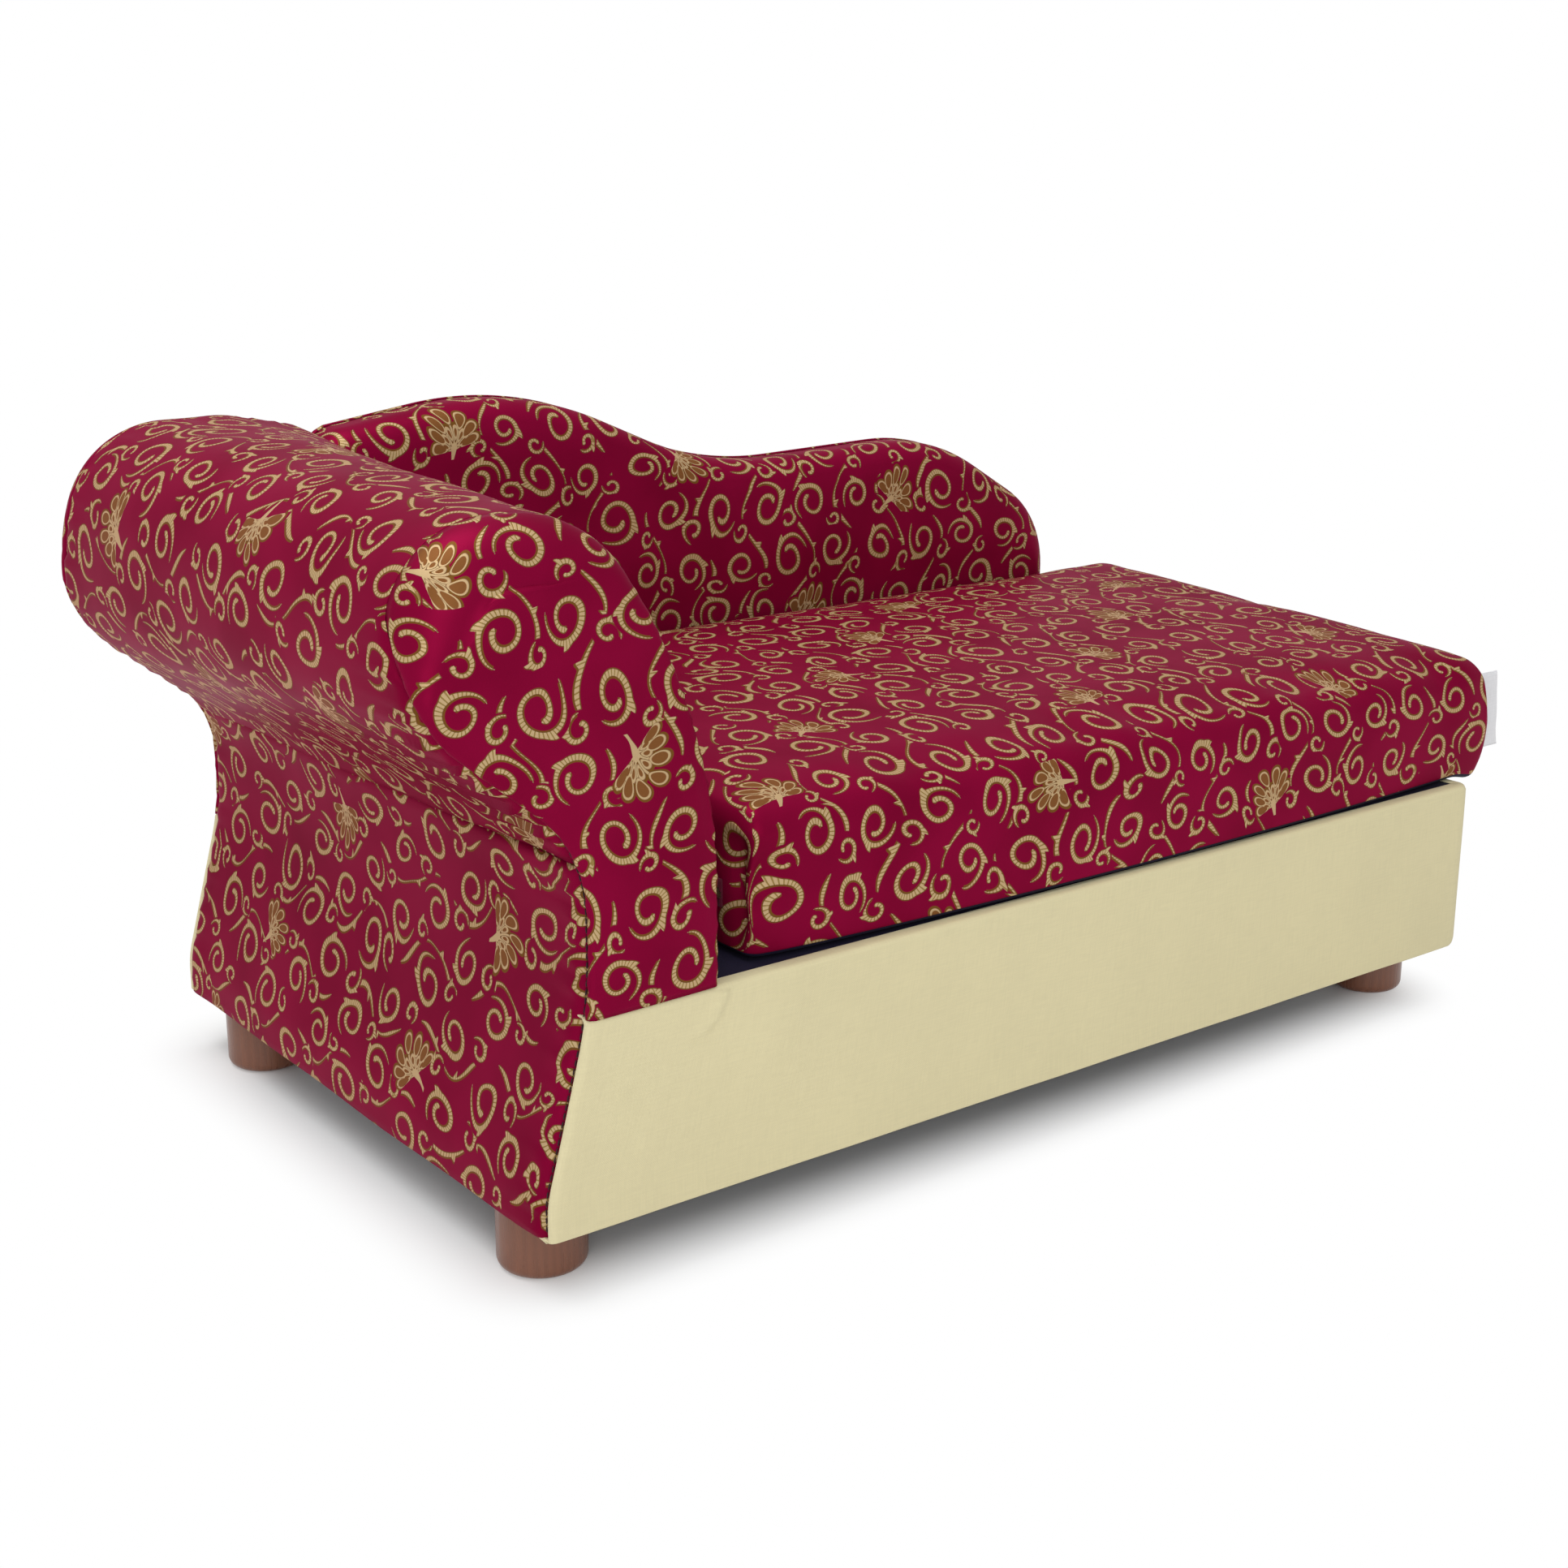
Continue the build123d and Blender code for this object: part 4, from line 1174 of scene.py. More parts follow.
def cushion_shell(shape):
    """The cushion's closed shell before it is filled, with its cloth map, and a mark on its lower cloth's faces."""
    start, end = cushion_low[0] + 0.0004, cushion_high[0] + cloth + 0.0012
    front, back = cushion_low[1] + 0.0012, cushion_high[1] + 0.0006
    low = cushion_low[2] - cloth
    size = np.array([end - start, back - front, shape.front_height])
    top_r, low_r = shape.top_radius, shape.low_radius
    step = 0.0095
    across, deep, up = (
        rounded_spots(size[0], 0.010, 0.010, step),
        rounded_spots(size[1], top_r, top_r, step),
        rounded_spots(size[2], low_r, top_r, step * 0.8),
    )
    made = bmesh.new()
    layer = made.loops.layers.uv.new("cloth")
    tall = size[2]

    def flat_map(side, p):
        x, y, z = p
        return {"top": (x, y), "bottom": (x, -y), "front": (x, z - tall), "back": (x, size[1] + tall - z),
            "head": (z - tall, y), "foot": (size[0] + tall - z, y)}[side]

    sides = {
        "top": (across, deep, lambda a, b: (a, b, tall), False),
        "bottom": (across, deep, lambda a, b: (a, b, 0.0), True),
        "front": (across, up, lambda a, b: (a, 0.0, b), False),
        "back": (across, up, lambda a, b: (a, size[1], b), True),
        "head": (deep, up, lambda a, b: (0.0, a, b), True),
        "foot": (deep, up, lambda a, b: (size[0], a, b), False),
    }
    for side, (columns, rows, place, turned) in sides.items():
        corners = [[made.verts.new(place(a, b)) for a in columns] for b in rows]
        for r in range(len(rows) - 1):
            for c in range(len(columns) - 1):
                ring = [corners[r][c], corners[r][c + 1], corners[r + 1][c + 1], corners[r + 1][c]]
                face = made.faces.new(ring[::-1] if turned else ring)
                face.smooth = True
                middle = face.calc_center_median()
                face.material_index = int(side == "bottom" or middle.z < shape.lip)
                for loop in face.loops:
                    loop[layer].uv = flat_map(side, loop.vert.co)
    bmesh.ops.remove_doubles(made, verts=made.verts, dist=0.00002)
    made.verts.ensure_lookup_table()
    p = np.array([v.co for v in made.verts])
    # The box's edges are rounded
    radius = np.where(p[:, 2] > tall / 2, top_r, low_r)[:, None] * np.ones((1, 3))
    radius[:, 0] = np.where(p[:, 0] > size[0] / 2, 0.008, 0.012)
    radius[:, 1] = np.where(p[:, 2] > tall / 2, top_r * 0.9, low_r)
    inner = np.clip(p, radius, size - radius)
    away = p - inner
    length = np.linalg.norm(away, axis=1, keepdims=True)
    p = np.where(length > 1e-9, inner + away / np.maximum(length, 1e-9) * radius, p)
    share = p / size
    # The top falls to the front and the foot end, and domes
    height = shape.front_height + (shape.back_height - shape.front_height) * share[:, 1]
    height = height - shape.fall * share[:, 0] * (1 - 1.3 * share[:, 1])
    within = np.clip(share, 0, 1)
    dome = shape.crown * np.sin(pi * within[:, 0]) ** 0.25 * np.sin(pi * within[:, 1]) ** 0.6
    lift = rising(share[:, 2], 0.25, 0.75)
    p[:, 2] = p[:, 2] * (1 - lift) + (height - (tall - p[:, 2]) + dome) * lift
    # The sides draw in at the back and swell out in front and at the foot end, which droops past the base
    waist = shape.waist * np.sin(pi * share[:, 0]) ** 0.5
    belly = 0.0032 * np.sin(pi * within[:, 2])
    sideways = 1 - 2 * share[:, 1]
    p[:, 1] += sideways * (waist + 0.0022 - belly) * np.where(np.abs(sideways) > 0.6, 1, 0.6) * (share[:, 1] > 0.5)
    up, low_end = within[:, 2], np.exp(-((share[:, 2] / 0.14) ** 2))
    bow = np.sin(pi * within[:, 0]) ** 0.6
    p[:, 1] -= (shape.bow * bow * (1 - 0.3 * up) + 0.004 * np.sin(pi * up)) * falling(share[:, 1], 0.13, 0.13)
    swell = shape.end_swell * np.sin(pi * (0.06 + 0.88 * up)) ** 0.6 - 0.006 * low_end
    p[:, 0] += swell * rising(share[:, 0], 0.9, 0.1)
    over = rising(start + p[:, 0] - base_length, shape.base_gap, 0.021) * falling(up, 0.5, 0.5)
    p[:, 2] -= shape.droop * over
    # The head end gives way by the arm, puckers run under the front edge, and gathers lie in its corner
    recess = hump(p[:, 1], 0.0095, 0.006) * rising(up, 0.08, 0.2) * falling(up, 0.86, 0.2)
    p[:, 0] += 0.011 * recess * falling(p[:, 0], 0.012, 0.012)
    along = p[:, 0]
    wave = np.sin(along * 74 + 1.3 * np.sin(along * 19)) + 0.6 * np.sin(along * 131 + 2.1)
    near_edge = hump(p[:, 1], 0.006, 0.016) * rising(share[:, 2], 0.35, 0.45)
    p[:, 1] -= shape.pucker * 0.42 * wave * near_edge * np.where(p[:, 1] < 0.03, 1, 0)
    p[:, 2] += shape.pucker * 0.36 * wave * near_edge * lift
    for at, width, depth, low_share, high_share in (
        (0.0085, 0.0062, 0.0085, 0.28, 0.80),
        (0.030, 0.007, 0.0022, 0.0, 0.6),
        (0.075, 0.011, 0.0018, 0.1, 0.75),
    ):
        gather = hump(p[:, 0] - at, 0.012 * (up - 0.5), width) * falling(share[:, 1], 0.1, 0.1)
        gather = gather * rising(up, low_share, 0.2) * falling(up, high_share, 0.2)
        p[:, 1] += depth * gather
    for vertex, place in zip(made.verts, p):
        vertex.co = place + [start, front, low]
    return made, p, size


def fill_cushion(shell, shape, rest, size):
    """Swells the shell with a short cloth simulation, most on top and not where it lies or touches the frame."""
    filling = shell.modifiers.new("Filling", "CLOTH")
    for name, value in {
        "quality": 4,
        "mass": 0.35,
        "tension_stiffness": 22,
        "compression_stiffness": 22,
        "shear_stiffness": 6,
        "bending_stiffness": 1.2,
        "use_pressure": True,
        "uniform_pressure_force": shape.pressure,
        "shrink_min": -0.012,
    }.items():
        setattr(filling.settings, name, value)
    filling.settings.effector_weights.gravity = 0
    filling.collision_settings.use_collision = False
    filling.point_cache.frame_start, filling.point_cache.frame_end = 1, swell_steps
    before = np.array([v.co for v in shell.data.vertices])
    scene = bpy.context.scene
    for step in range(1, swell_steps + 1):
        scene.frame_set(step)
    filled = shell.evaluated_get(bpy.context.evaluated_depsgraph_get())
    moved = np.array([v.co for v in filled.data.vertices]) - before
    shell.modifiers.clear()
    scene.frame_set(1)
    share = rest / size
    reach = np.linalg.norm(moved, axis=1, keepdims=True)
    moved *= np.minimum(1, shape.swell_limit / np.maximum(reach, 1e-9))
    low_fade = smooth_step(share[:, 2] / 0.35)
    head_fade = rising(rest[:, 0], 0.001, 0.03)
    rear_fade = rising(size[1] - rest[:, 1], 0.001, 0.03)
    side_fade = 0.45 + 0.55 * smooth_step(rest[:, 1] / 0.03)
    weight = low_fade * head_fade * rear_fade * side_fade
    moved[:, 2] *= rising(share[:, 2], 0.55, 0.3)
    after = before + moved * weight[:, None]
    shell.data.vertices.foreach_set("co", after.astype(np.float32).ravel())
    shell.data.update()


def make_cushion(shape, brocade, navy):
    """The loose cushion: a filled, crowned shell of brocade on a navy lower cloth."""
    made, rest, size = cushion_shell(shape)
    mesh = bpy.data.meshes.new("cushion_shell")
    for vertex in made.verts:
        vertex.co = Vector(np.array(vertex.co) + origin)
    made.to_mesh(mesh)
    made.free()
    mesh.materials.append(brocade)
    mesh.materials.append(navy)
    shell = add_object("cushion_shell", mesh)
    fill_cushion(shell, shape, rest, size)
    modify(shell, "SUBSURF", levels=1, render_levels=1)
    for name, part, slot, nodes in (
        ("cushion_padding", 0, "brocade", ("cushion_cover", "cushion_foam")),
        ("cushion_lower_cloth", 1, "deck_weave", ("cushion_base_cloth",)),
    ):
        made = bmesh.new()
        made.from_mesh(shell.data)
        bmesh.ops.delete(made, geom=[f for f in made.faces if f.material_index != part], context="FACES")
        piece_mesh = bpy.data.meshes.new(name)
        for face in made.faces:
            face.material_index = 0
            face.smooth = True
        made.to_mesh(piece_mesh)
        made.free()
        piece_mesh.materials.append((brocade, navy)[part])
        piece = add_object(name, piece_mesh)
        thicken(piece, 0.0007)
        bound(piece, "cushion", slot, *nodes)
    bpy.data.objects.remove(shell)


def make_tab(material):
    """The bare white tab: one ribbon folded back on itself and sewn into the cushion's corner."""
    left, right = tab_low[0] + 0.004, tab_high[0] + 0.0065
    middle = (tab_low[1] + tab_high[1]) / 2
    gap, rows = 0.00035, 24
    path = [(x, middle - gap) for x in np.linspace(left, right - 0.0012, 14)]
    path += [(right - 0.0012 + 0.0010 * sin(a), middle - gap * cos(a) * 1.4) for a in np.linspace(0.3, pi - 0.3, 7)]
    path += [(x, middle + gap) for x in np.linspace(right - 0.0012, left, 14)]
    points, maps, along = [], [], 0.0
    for n, (x, y) in enumerate(path):
        if n:
            along += hypot(x - path[n - 1][0], y - path[n - 1][1])
        out = max(0.0, (x - cushion_high[0] - cloth) / 0.021)
        for k in range(rows):
            up = k / (rows - 1)
            curl = 0.0005 * out * sin(up * 5.1 + 0.6) + 0.0002 * out * sin(up * 11)
            rise = (tab_high[2] - tab_low[2]) * up
            points.append((x + 0.0045 * out * (1 - up) - 0.002 * out * up, y + curl, tab_low[2] + rise))
            maps.append((along, rise))
    tab = make_piece("cushion_side_tab", points, grid_faces(len(path), rows), maps, material)
    modify(tab, "SOLIDIFY", thickness=0.0003, offset=0.0)
    bound(tab, "cushion", "tab_cloth", "cushion_tab")


def node_tree_of(name, inputs):
    """A Geometry Nodes tree with named inputs, and a loom to build it with."""
    tree = bpy.data.node_groups.new(name, "GeometryNodeTree")
    for label, kind in inputs.items():
        tree.interface.new_socket(label, in_out="INPUT", socket_type="NodeSocket" + kind)
    tree.interface.new_socket("Geometry", in_out="OUTPUT", socket_type="NodeSocketGeometry")
    return tree, Loom(tree), tree.nodes.new("NodeGroupInput").outputs


def repeat_along(name, lines, spacing, size, material, round_ends=True, seed=1, uneven=0.0):
    """One mesh of small rounded bars set along lines: stitches, staples or zip teeth."""
    mesh = bpy.data.meshes.new(name)
    points, edges, normals = [], [], []
    for places, outs in lines:
        start = len(points)
        points += [tuple(p) for p in settle(places)]
        normals += [tuple(o) for o in outs]
        edges += [(start + n, start + n + 1) for n in range(len(places) - 1)]
    mesh.from_pydata(points, edges, [])
    facing = mesh.attributes.new("facing", "FLOAT_VECTOR", "POINT")
    facing.data.foreach_set("vector", np.array(normals, np.float32).ravel())
    piece = add_object(name, mesh)
    tree, loom, given = node_tree_of(name + "_nodes", {
        "Line": "Geometry", "Spacing": "Float", "Size": "Vector", "Tilt": "Float", "Uneven": "Float", "Seed": "Int"})
    curve = loom.out("GeometryNodeMeshToCurve", {0: given["Line"]})
    spots = loom.out("GeometryNodeResampleCurve", {"Curve": curve, "Length": given["Spacing"]}, mode="LENGTH")
    tangent = loom.out("GeometryNodeInputTangent")
    out = loom.out("GeometryNodeInputNamedAttribute", {"Name": "facing"}, data_type="FLOAT_VECTOR")
    kept = {"Geometry": spots, "Name": "run", "Value": tangent}
    spots = loom.out("GeometryNodeStoreNamedAttribute", kept, data_type="FLOAT_VECTOR", domain="POINT")
    dots = loom.out("GeometryNodeCurveToPoints", {"Curve": spots}, mode="EVALUATED")
    run = loom.out("GeometryNodeInputNamedAttribute", {"Name": "run"}, data_type="FLOAT_VECTOR")
    upright = loom.out("FunctionNodeAlignRotationToVector", {"Vector": out}, axis="Z")
    aims = {"Rotation": upright, "Vector": run}
    turned = loom.out("FunctionNodeAlignRotationToVector", aims, axis="X", pivot_axis="Z")
    chance = loom.add("FunctionNodeRandomValue", {"Min": -1.0, "Max": 1.0, "Seed": given["Seed"]}, data_type="FLOAT")
    swing = loom.math("ADD", given["Tilt"], loom.math("MULTIPLY", chance.outputs[1], given["Uneven"]))
    lean = loom.out("FunctionNodeAxisAngleToRotation", {"Axis": (0.0, 0.0, 1.0), "Angle": swing})
    turns = {"Rotation": turned, "Rotate By": lean}
    rotation = loom.out("FunctionNodeRotateRotation", turns, rotation_space="LOCAL")
    if round_ends:
        bar = loom.out("GeometryNodeMeshUVSphere", {"Segments": 6, "Rings": 5, "Radius": 0.5})
    else:
        bar = loom.out("GeometryNodeMeshCube", {"Size": (1.0, 1.0, 1.0)})
    bar = loom.out("GeometryNodeTransform", {"Geometry": bar, "Scale": given["Size"]})
    placed = loom.out("GeometryNodeInstanceOnPoints", {"Points": dots, "Instance": bar, "Rotation": rotation})
    real = loom.out("GeometryNodeRealizeInstances", {"Geometry": placed})
    shown = loom.out("GeometryNodeSetShadeSmooth", {"Geometry": real, "Shade Smooth": round_ends})
    final = loom.out("GeometryNodeSetMaterial", {"Geometry": shown, "Material": material})
    loom.join(final, loom.add("NodeGroupOutput").inputs[0])
    modifier = piece.modifiers.new("Repeat", "NODES")
    modifier.node_group = tree
    names = {item.name: item.identifier for item in tree.interface.items_tree if item.in_out == "INPUT"}
    for label, value in {"Spacing": spacing, "Size": size, "Tilt": 0.0, "Uneven": uneven, "Seed": seed}.items():
        modifier[names[label]] = value
    apply_modifiers(piece)
    if not piece.data.polygons:
        raise RuntimeError(f"{name} came out empty")
    for attribute in ("facing", "run"):
        if attribute in piece.data.attributes:
            piece.data.attributes.remove(piece.data.attributes[attribute])
    return piece


def make_stitches(shape, thread, steel):
    """Stitches beside the arm's seams, and staples through the dust lining."""
    form = ArmForm(shape, 0.006, 0.300, 90, over_roll=False)
    seam = form.section(form.edge) - form.out * (form.pull * 0.55)[:, None]
    places = [(x, y, z) for (x, z), y in zip(seam, form.edge)]
    outs = [(o[0] * 0.8, -0.6, o[1] * 0.8) for o in form.out]
    size = (0.0043, 0.0010, 0.0008)
    stitches = repeat_along("arm_seam_stitches", [(places, outs)], 0.0047, size, thread, uneven=0.06, seed=3)
    bound(stitches, "frame", "brocade")
    low, high = base_box("dust_cover")
    inset, clear, z = 0.006, 0.03, -0.0009
    rows = []
    for start, end in (
        ((low[0] + clear, low[1] + inset), (high[0] - clear, low[1] + inset)),
        ((low[0] + clear, high[1] - inset), (high[0] - clear, high[1] - inset)),
        ((low[0] + inset, low[1] + clear), (low[0] + inset, high[1] - clear)),
        ((high[0] - inset, low[1] + clear), (high[0] - inset, high[1] - clear)),
    ):
        (x, y), (run_x, run_y) = start, (end[0] - start[0], end[1] - start[1])
        rows.append(([(x + run_x * t, y + run_y * t, z) for t in np.linspace(0, 1, 20)], [(0, 0, -1)] * 20))
    size = (0.0105, 0.0011, 0.0007)
    staples = repeat_along("lining_staples", rows, 0.052, size, steel, uneven=0.3, round_ends=False, seed=9)
    bound(staples, "frame", "screw_steel")


def make_zip(tape_material, teeth_material):
    """The cushion's zip: a woven tape and its row of teeth."""
    points, maps = [], []
    ys = np.linspace(tape_low[1], tape_high[1], 90)
    zs = np.linspace(tape_low[2], tape_high[2], 9)
    for z in zs:
        for y in ys:
            points.append((tape_low[0] + 0.0001 + 0.0002 * sin(y * 130), y, z))
            maps.append((y, z))
    tape = make_piece("zip_tape_cloth", points, grid_faces(len(zs), len(ys), 0, True), maps, tape_material)
    thicken(tape)
    bound(tape, "cushion", "zip_cloth", "zip_tape")
    middle = (chain_low[2] + chain_high[2]) / 2
    x = (chain_low[0] + chain_high[0]) / 2
    rows = []
    for side, shift in ((-1, 0.0), (1, 0.00125)):
        ys = np.linspace(chain_low[1] + 0.001, chain_high[1] - 0.002, 60)
        rows.append(([(x, y + shift, middle + side * 0.0009) for y in ys], [(-1, 0, 0)] * len(ys)))
    teeth = repeat_along("zip_teeth_row", rows, 0.0025, (0.0011, 0.0032, 0.0014), teeth_material, round_ends=False)
    bound(teeth, "cushion", "zip_teeth", "zip_chain")


# The floor's shadowed patch: its middle and half size, and how far it fades to white, in metres
shadow_middle, shadow_half, shadow_fade = (0.0, 0.015, 0.0), (0.335, 0.187, 0.0), 0.082


def make_stage(settings):
    """Plain pale floor, soft lamps, white surroundings and the camera."""
    scene = bpy.context.scene
    scene.view_settings.view_transform = "Standard"
    world = bpy.data.worlds.new("studio")
    scene.world = world
    world.use_nodes = True
    loom = Loom(world.node_tree)
    path = loom.add("ShaderNodeLightPath")
    seen = loom.most(path.outputs["Is Camera Ray"], path.outputs["Is Transmission Ray"])
    strength = seen * (1.0 - settings.world_light) + settings.world_light
    background = world.node_tree.nodes["Background"]
    background.inputs["Color"].default_value = (1, 1, 1, 1)
    loom.join(strength, background.inputs["Strength"])

    r = settings.floor_radius
    mesh = bpy.data.meshes.new("studio_floor")
    mesh.from_pydata([(-r, -r, 0), (r, -r, 0), (r, r, 0), (-r, r, 0)], [], [(0, 1, 2, 3)])
    floor = add_object("studio_floor", mesh)
    material, loom, shader = new_material("studio_floor")
    place = loom.object_place()
    grain = loom.noise(place, 40.0, 2.0)
    two_tones(loom, shader, loom.step(grain, 0.3, 0.7), (0.90, 0.90, 0.905), (0.91, 0.91, 0.915))
    loom.fill(shader, {"Roughness": 0.6, "Specular IOR Level": 0.2})
    white = loom.out("ShaderNodeEmission", {"Color": (1, 1, 1, 1), "Strength": 1.0})
    beyond = loom.vector("ABSOLUTE", loom.vector("SUBTRACT", place, shadow_middle))
    beyond = loom.vector("SUBTRACT", beyond, shadow_half)
    far = loom.vector("LENGTH", loom.vector("MAXIMUM", beyond, (0.0, 0.0, 0.0)))
    path = loom.add("ShaderNodeLightPath")
    seen = loom.most(path.outputs["Is Camera Ray"], path.outputs["Is Glossy Ray"], path.outputs["Is Transmission Ray"])
    blend = loom.step(far, 0.0, shadow_fade) * seen
    mixed = loom.out("ShaderNodeMixShader", {0: blend, 1: shader.outputs[0], 2: white})
    loom.join(mixed, material.node_tree.nodes["Material Output"].inputs["Surface"])
    mesh.materials.append(material)
    floor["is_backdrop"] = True

    for name, place, target, size, power in (
        ("key_lamp", (-0.7, 0.2, 2.4), (0.0, 0.0, 0.1), 1.9, settings.key_power),
        ("fill_lamp", (-1.5, -2.3, 1.1), (0.0, 0.0, 0.15), 1.6, settings.fill_power),
    ):
        lamp = bpy.data.lights.new(name, "AREA")
        lamp.shape = "DISK"
        lamp.size = size
        lamp.energy = power
        holder = add_object(name, lamp)
        holder.location = place
        holder.rotation_euler = (Vector(target) - Vector(place)).to_track_quat("-Z", "Y").to_euler()

    camera = bpy.data.cameras.new("camera")
    camera.lens = settings.lens
    camera.sensor_width = 36.0
    camera.clip_start, camera.clip_end = 0.05, 60.0
    holder = add_object("camera", camera)
    turn, pitch, roll = settings.camera_turn, settings.camera_pitch, settings.camera_roll
    forward = Vector((sin(turn) * cos(pitch), cos(turn) * cos(pitch), -sin(pitch)))
    right = forward.cross(Vector((0, 0, 1))).normalized()
    up = right.cross(forward)
    right, up = right * cos(roll) + up * sin(roll), up * cos(roll) - right * sin(roll)
    facing = Matrix((right, up, -forward)).transposed().to_4x4()
    holder.matrix_world = Matrix.Translation(settings.camera_place) @ facing
    scene.camera = holder


# The materials by their finishes' names, filled by the first step
finishes = {}


class CHAISE_OT_finishes(bpy.types.Operator):
    """Makes the cloths, woods and metals, and gives the frame's own pieces theirs"""

    bl_idname = "chaise.finishes"
    bl_label = "Cloths and Finishes"

    def execute(self, context):
        colours = context.scene.chaise_colours
        finishes["brocade"] = brocade_material(colours)
        finishes["base_weave"] = woven_material("cream_base_weave", tuple(colours.base), 0.0011, 0.00006, 0.1, 0.022)
        finishes["deck_weave"] = woven_material("navy_deck_weave", tuple(colours.deck), 0.0012, 0.00012, 0.01, 0.12)
        finishes["dust_cloth"] = woven_material("black_dust_lining", (0.012, 0.012, 0.013), 0.0015, 0.0001, 0.05, 0.15)
        finishes["zip_cloth"] = woven_material("zip_tape_weave", (0.10, 0.004, 0.02), 0.0009, 0.00012, 0.1, 0.1)
        finishes["tab_cloth"] = woven_material("white_tab_satin", tuple(colours.tab), 0.0006, 0.00005, 0.15, 0.03)
        finishes["pine"] = wood_material("raw_pine", (0.52, 0.34, 0.16), "x", 40.0, 0.6)
        finishes["plywood"] = wood_material("birch_plywood", (0.50, 0.36, 0.20), "x", 55.0, 0.6)
        finishes["hardboard"] = wood_material("pressed_board", (0.20, 0.11, 0.055), "y", 150.0, 0.7)
        finishes["foot_wood"] = wood_material("stained_foot_wood", tuple(colours.foot), "z", 75.0, 0.30, 0.18)
        finishes["screw_steel"] = metal_material("plated_steel", (0.60, 0.60, 0.58), 0.32)
        finishes["insert_brass"] = metal_material("insert_brass", (0.62, 0.45, 0.18), 0.34)
        finishes["zip_metal"] = metal_material("zip_slider_metal", (0.30, 0.24, 0.16), 0.30)
        finishes["zip_teeth"] = metal_material("zip_teeth_metal", (0.34, 0.27, 0.17), 0.36)
        finishes["foam"] = foam_material("cream_foam", (0.70, 0.60, 0.36))
        finishes["thread"] = woven_material(
            "dark_seam_thread", (0.030, 0.010, 0.014), 0.0004, 0.00005, 0.1, 0.1, source="object")
        slots = {}
        for part in frame["record"]["materials"]:
            for node in part.get("nodes") or []:
                slots[node] = part["slot"]
        for name, node in frame["nodes"].items():
            slot = slots.get(name) or slot_of(name)
            node.data.materials.clear()
            node.data.materials.append(finishes[slot])
            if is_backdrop(node):
                raise RuntimeError(f"{name} is marked as part of the stage")
        return {"FINISHED"}


def slot_of(name):
    """The finish of one of the frame's own pieces, from what it is."""
    for words, slot in (
        (("screws", "bolts"), "screw_steel"),
        (("inserts",), "insert_brass"),
        (("foot_end", "foot_head"), "foot_wood"),
        (("foam", "padding"), "foam"),
        (("slider", "pull"), "zip_metal"),
        (("tape",), "zip_cloth"),
        (("chain",), "zip_teeth"),
        (("tab",), "tab_cloth"),
        (("dust",), "dust_cloth"),
        (("deck_cloth", "base_cloth"), "deck_weave"),
        (("base_cover",), "base_weave"),
        (("cover",), "brocade"),
        (("roll_board", "outer_board"), "hardboard"),
        (("panel", "deck_board"), "plywood"),
    ):
        if any(word in name for word in words):
            return slot
    return "pine"


class CHAISE_OT_arm(bpy.types.Operator):
    """Pads and covers the scroll arm"""

    bl_idname = "chaise.arm"
    bl_label = "Scroll Arm"

    def execute(self, context):
        make_arm(context.scene.chaise_shape, finishes["brocade"])
        return {"FINISHED"}


class CHAISE_OT_backrest(bpy.types.Operator):
    """Pads and covers the waved backrest"""

    bl_idname = "chaise.backrest"
    bl_label = "Waved Backrest"

    def execute(self, context):
        make_backrest(context.scene.chaise_shape, finishes["brocade"])
        return {"FINISHED"}


class CHAISE_OT_base(bpy.types.Operator):
    """Covers the base, its deck and its underside"""

    bl_idname = "chaise.base"
    bl_label = "Base and Deck"

    def execute(self, context):
        make_base_cover(context.scene.chaise_shape, finishes["base_weave"])
        make_deck(finishes["deck_weave"])
        make_lining(finishes["dust_cloth"])
        return {"FINISHED"}


class CHAISE_OT_cushion(bpy.types.Operator):
    """Fills and covers the loose cushion and sews in its side tab"""

    bl_idname = "chaise.cushion"
    bl_label = "Loose Cushion"

    def execute(self, context):
        make_cushion(context.scene.cushion_shape, finishes["brocade"], finishes["deck_weave"])
        make_tab(finishes["tab_cloth"])
        return {"FINISHED"}


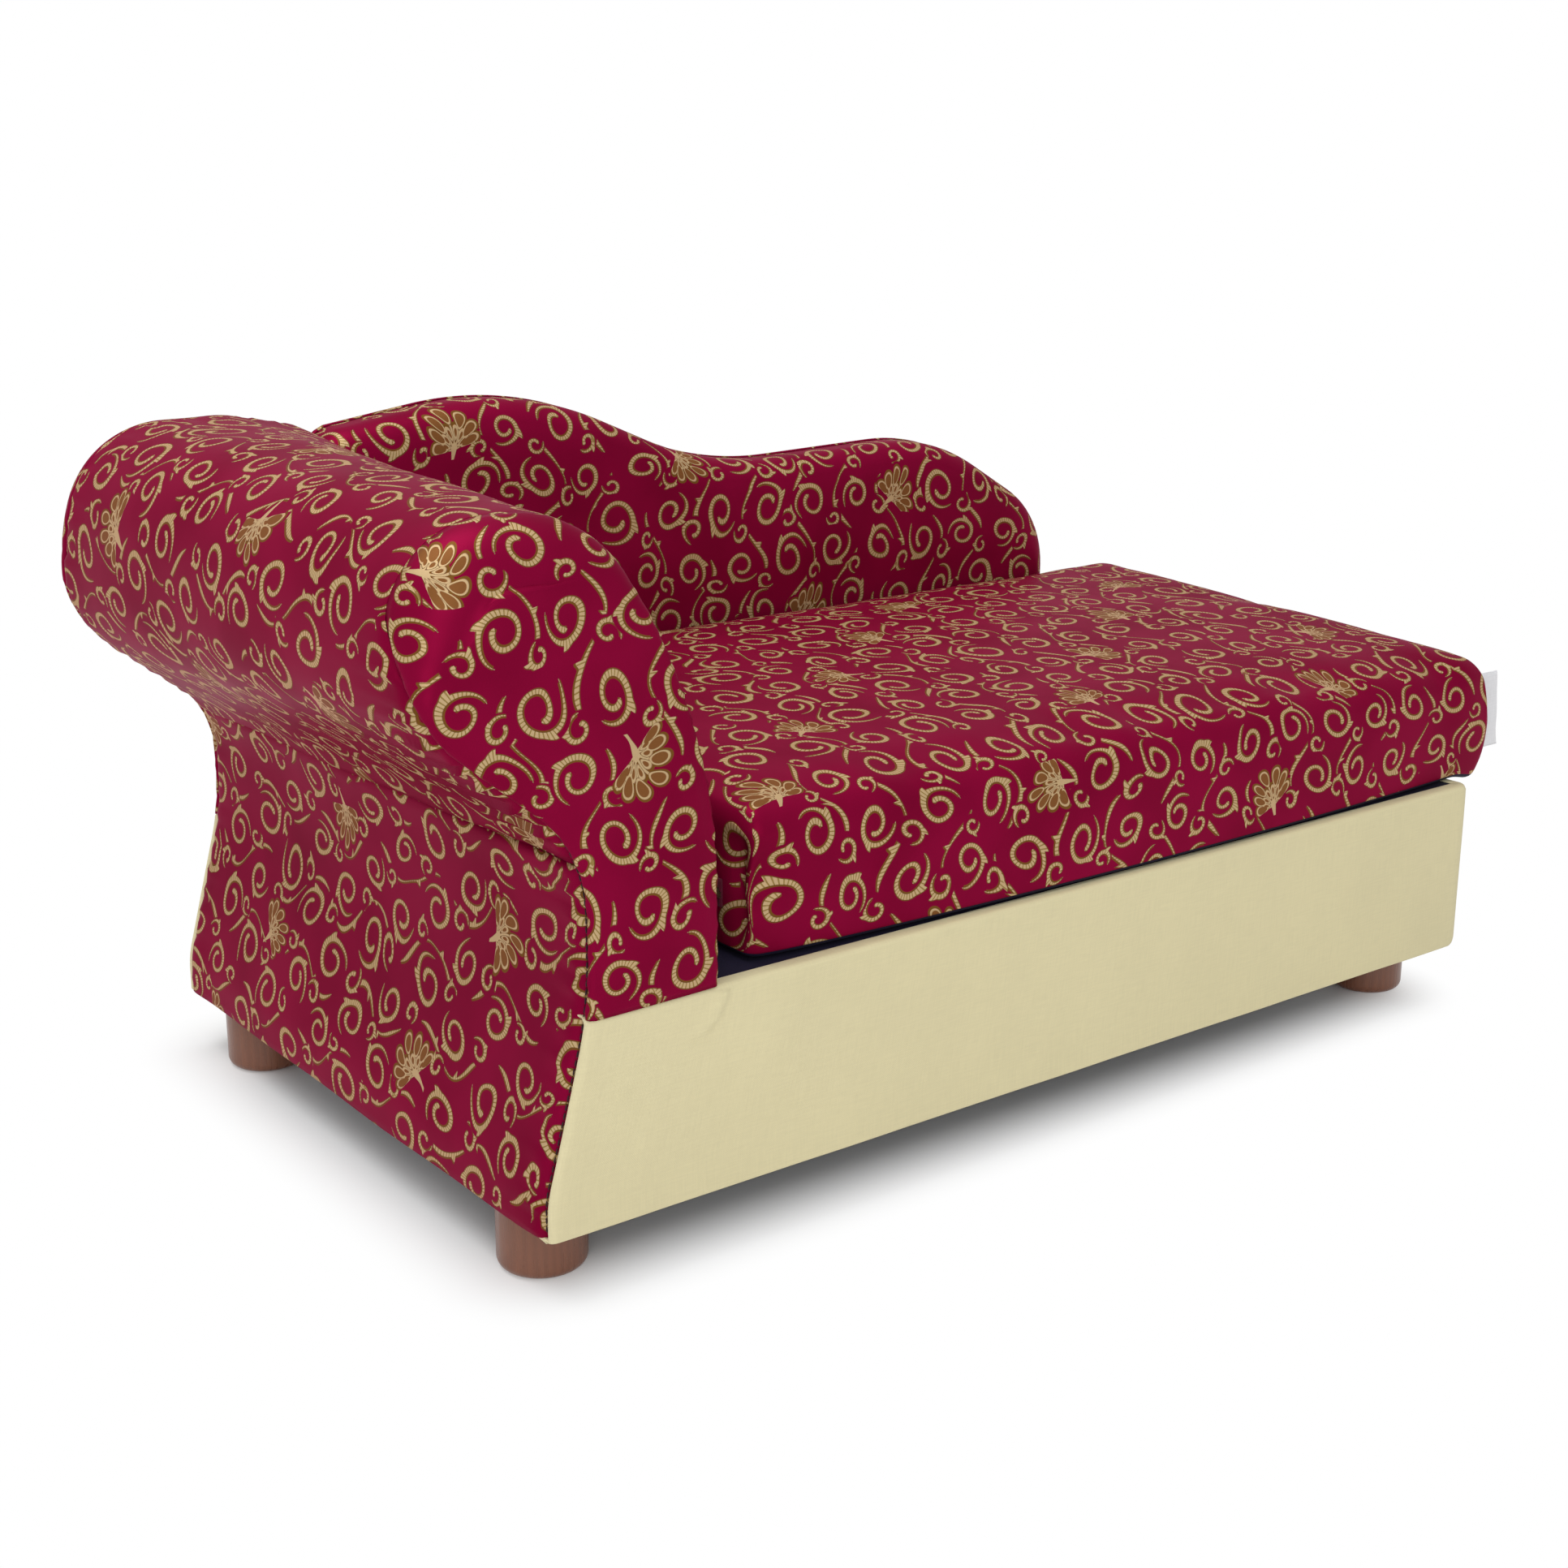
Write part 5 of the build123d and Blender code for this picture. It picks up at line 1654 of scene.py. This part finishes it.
class CHAISE_OT_trim(bpy.types.Operator):
    """Adds the zip, the seam stitches and the staples"""

    bl_idname = "chaise.trim"
    bl_label = "Zip, Stitches and Staples"

    def execute(self, context):
        make_zip(finishes["zip_cloth"], finishes["zip_teeth"])
        make_stitches(context.scene.chaise_shape, finishes["thread"], finishes["screw_steel"])
        return {"FINISHED"}


class CHAISE_OT_stage(bpy.types.Operator):
    """Sets the floor, the lamps and the camera"""

    bl_idname = "chaise.stage"
    bl_label = "Floor, Lamps and Camera"

    def execute(self, context):
        make_stage(context.scene.chaise_stage)
        return {"FINISHED"}


class CHAISE_PT_panel(bpy.types.Panel):
    """Lists the chaise's sizes, colours and steps"""

    bl_idname = "CHAISE_PT_panel"
    bl_label = "Pet Chaise Lounge"
    bl_space_type = "VIEW_3D"
    bl_region_type = "UI"
    bl_category = "Chaise"

    def draw(self, context):
        for group in settings_groups:
            box = self.layout.box()
            box.label(text=group.__doc__)
            for name in group.__annotations__:
                box.prop(getattr(context.scene, settings_groups[group]), name)
        for step in steps:
            self.layout.operator(step.bl_idname)


settings_groups = {
    ChaiseShape: "chaise_shape",
    CushionShape: "cushion_shape",
    ChaiseColours: "chaise_colours",
    StageSettings: "chaise_stage",
}
steps = (
    CHAISE_OT_finishes,
    CHAISE_OT_arm,
    CHAISE_OT_backrest,
    CHAISE_OT_base,
    CHAISE_OT_cushion,
    CHAISE_OT_trim,
    CHAISE_OT_stage,
)


def register():
    for group, name in settings_groups.items():
        bpy.utils.register_class(group)
        setattr(bpy.types.Scene, name, PointerProperty(type=group))
    for made in (*steps, CHAISE_PT_panel):
        bpy.utils.register_class(made)


def unregister():
    for made in reversed((*steps, CHAISE_PT_panel)):
        bpy.utils.unregister_class(made)
    for group, name in settings_groups.items():
        delattr(bpy.types.Scene, name)
        bpy.utils.unregister_class(group)


def main():
    """Registers everything and makes the chaise step by step."""
    register()
    bpy.ops.chaise.stage()
    bpy.ops.chaise.finishes()
    bpy.ops.chaise.arm()
    bpy.ops.chaise.backrest()
    bpy.ops.chaise.base()
    bpy.ops.chaise.cushion()
    bpy.ops.chaise.trim()


if __name__ == "__main__":
    main()
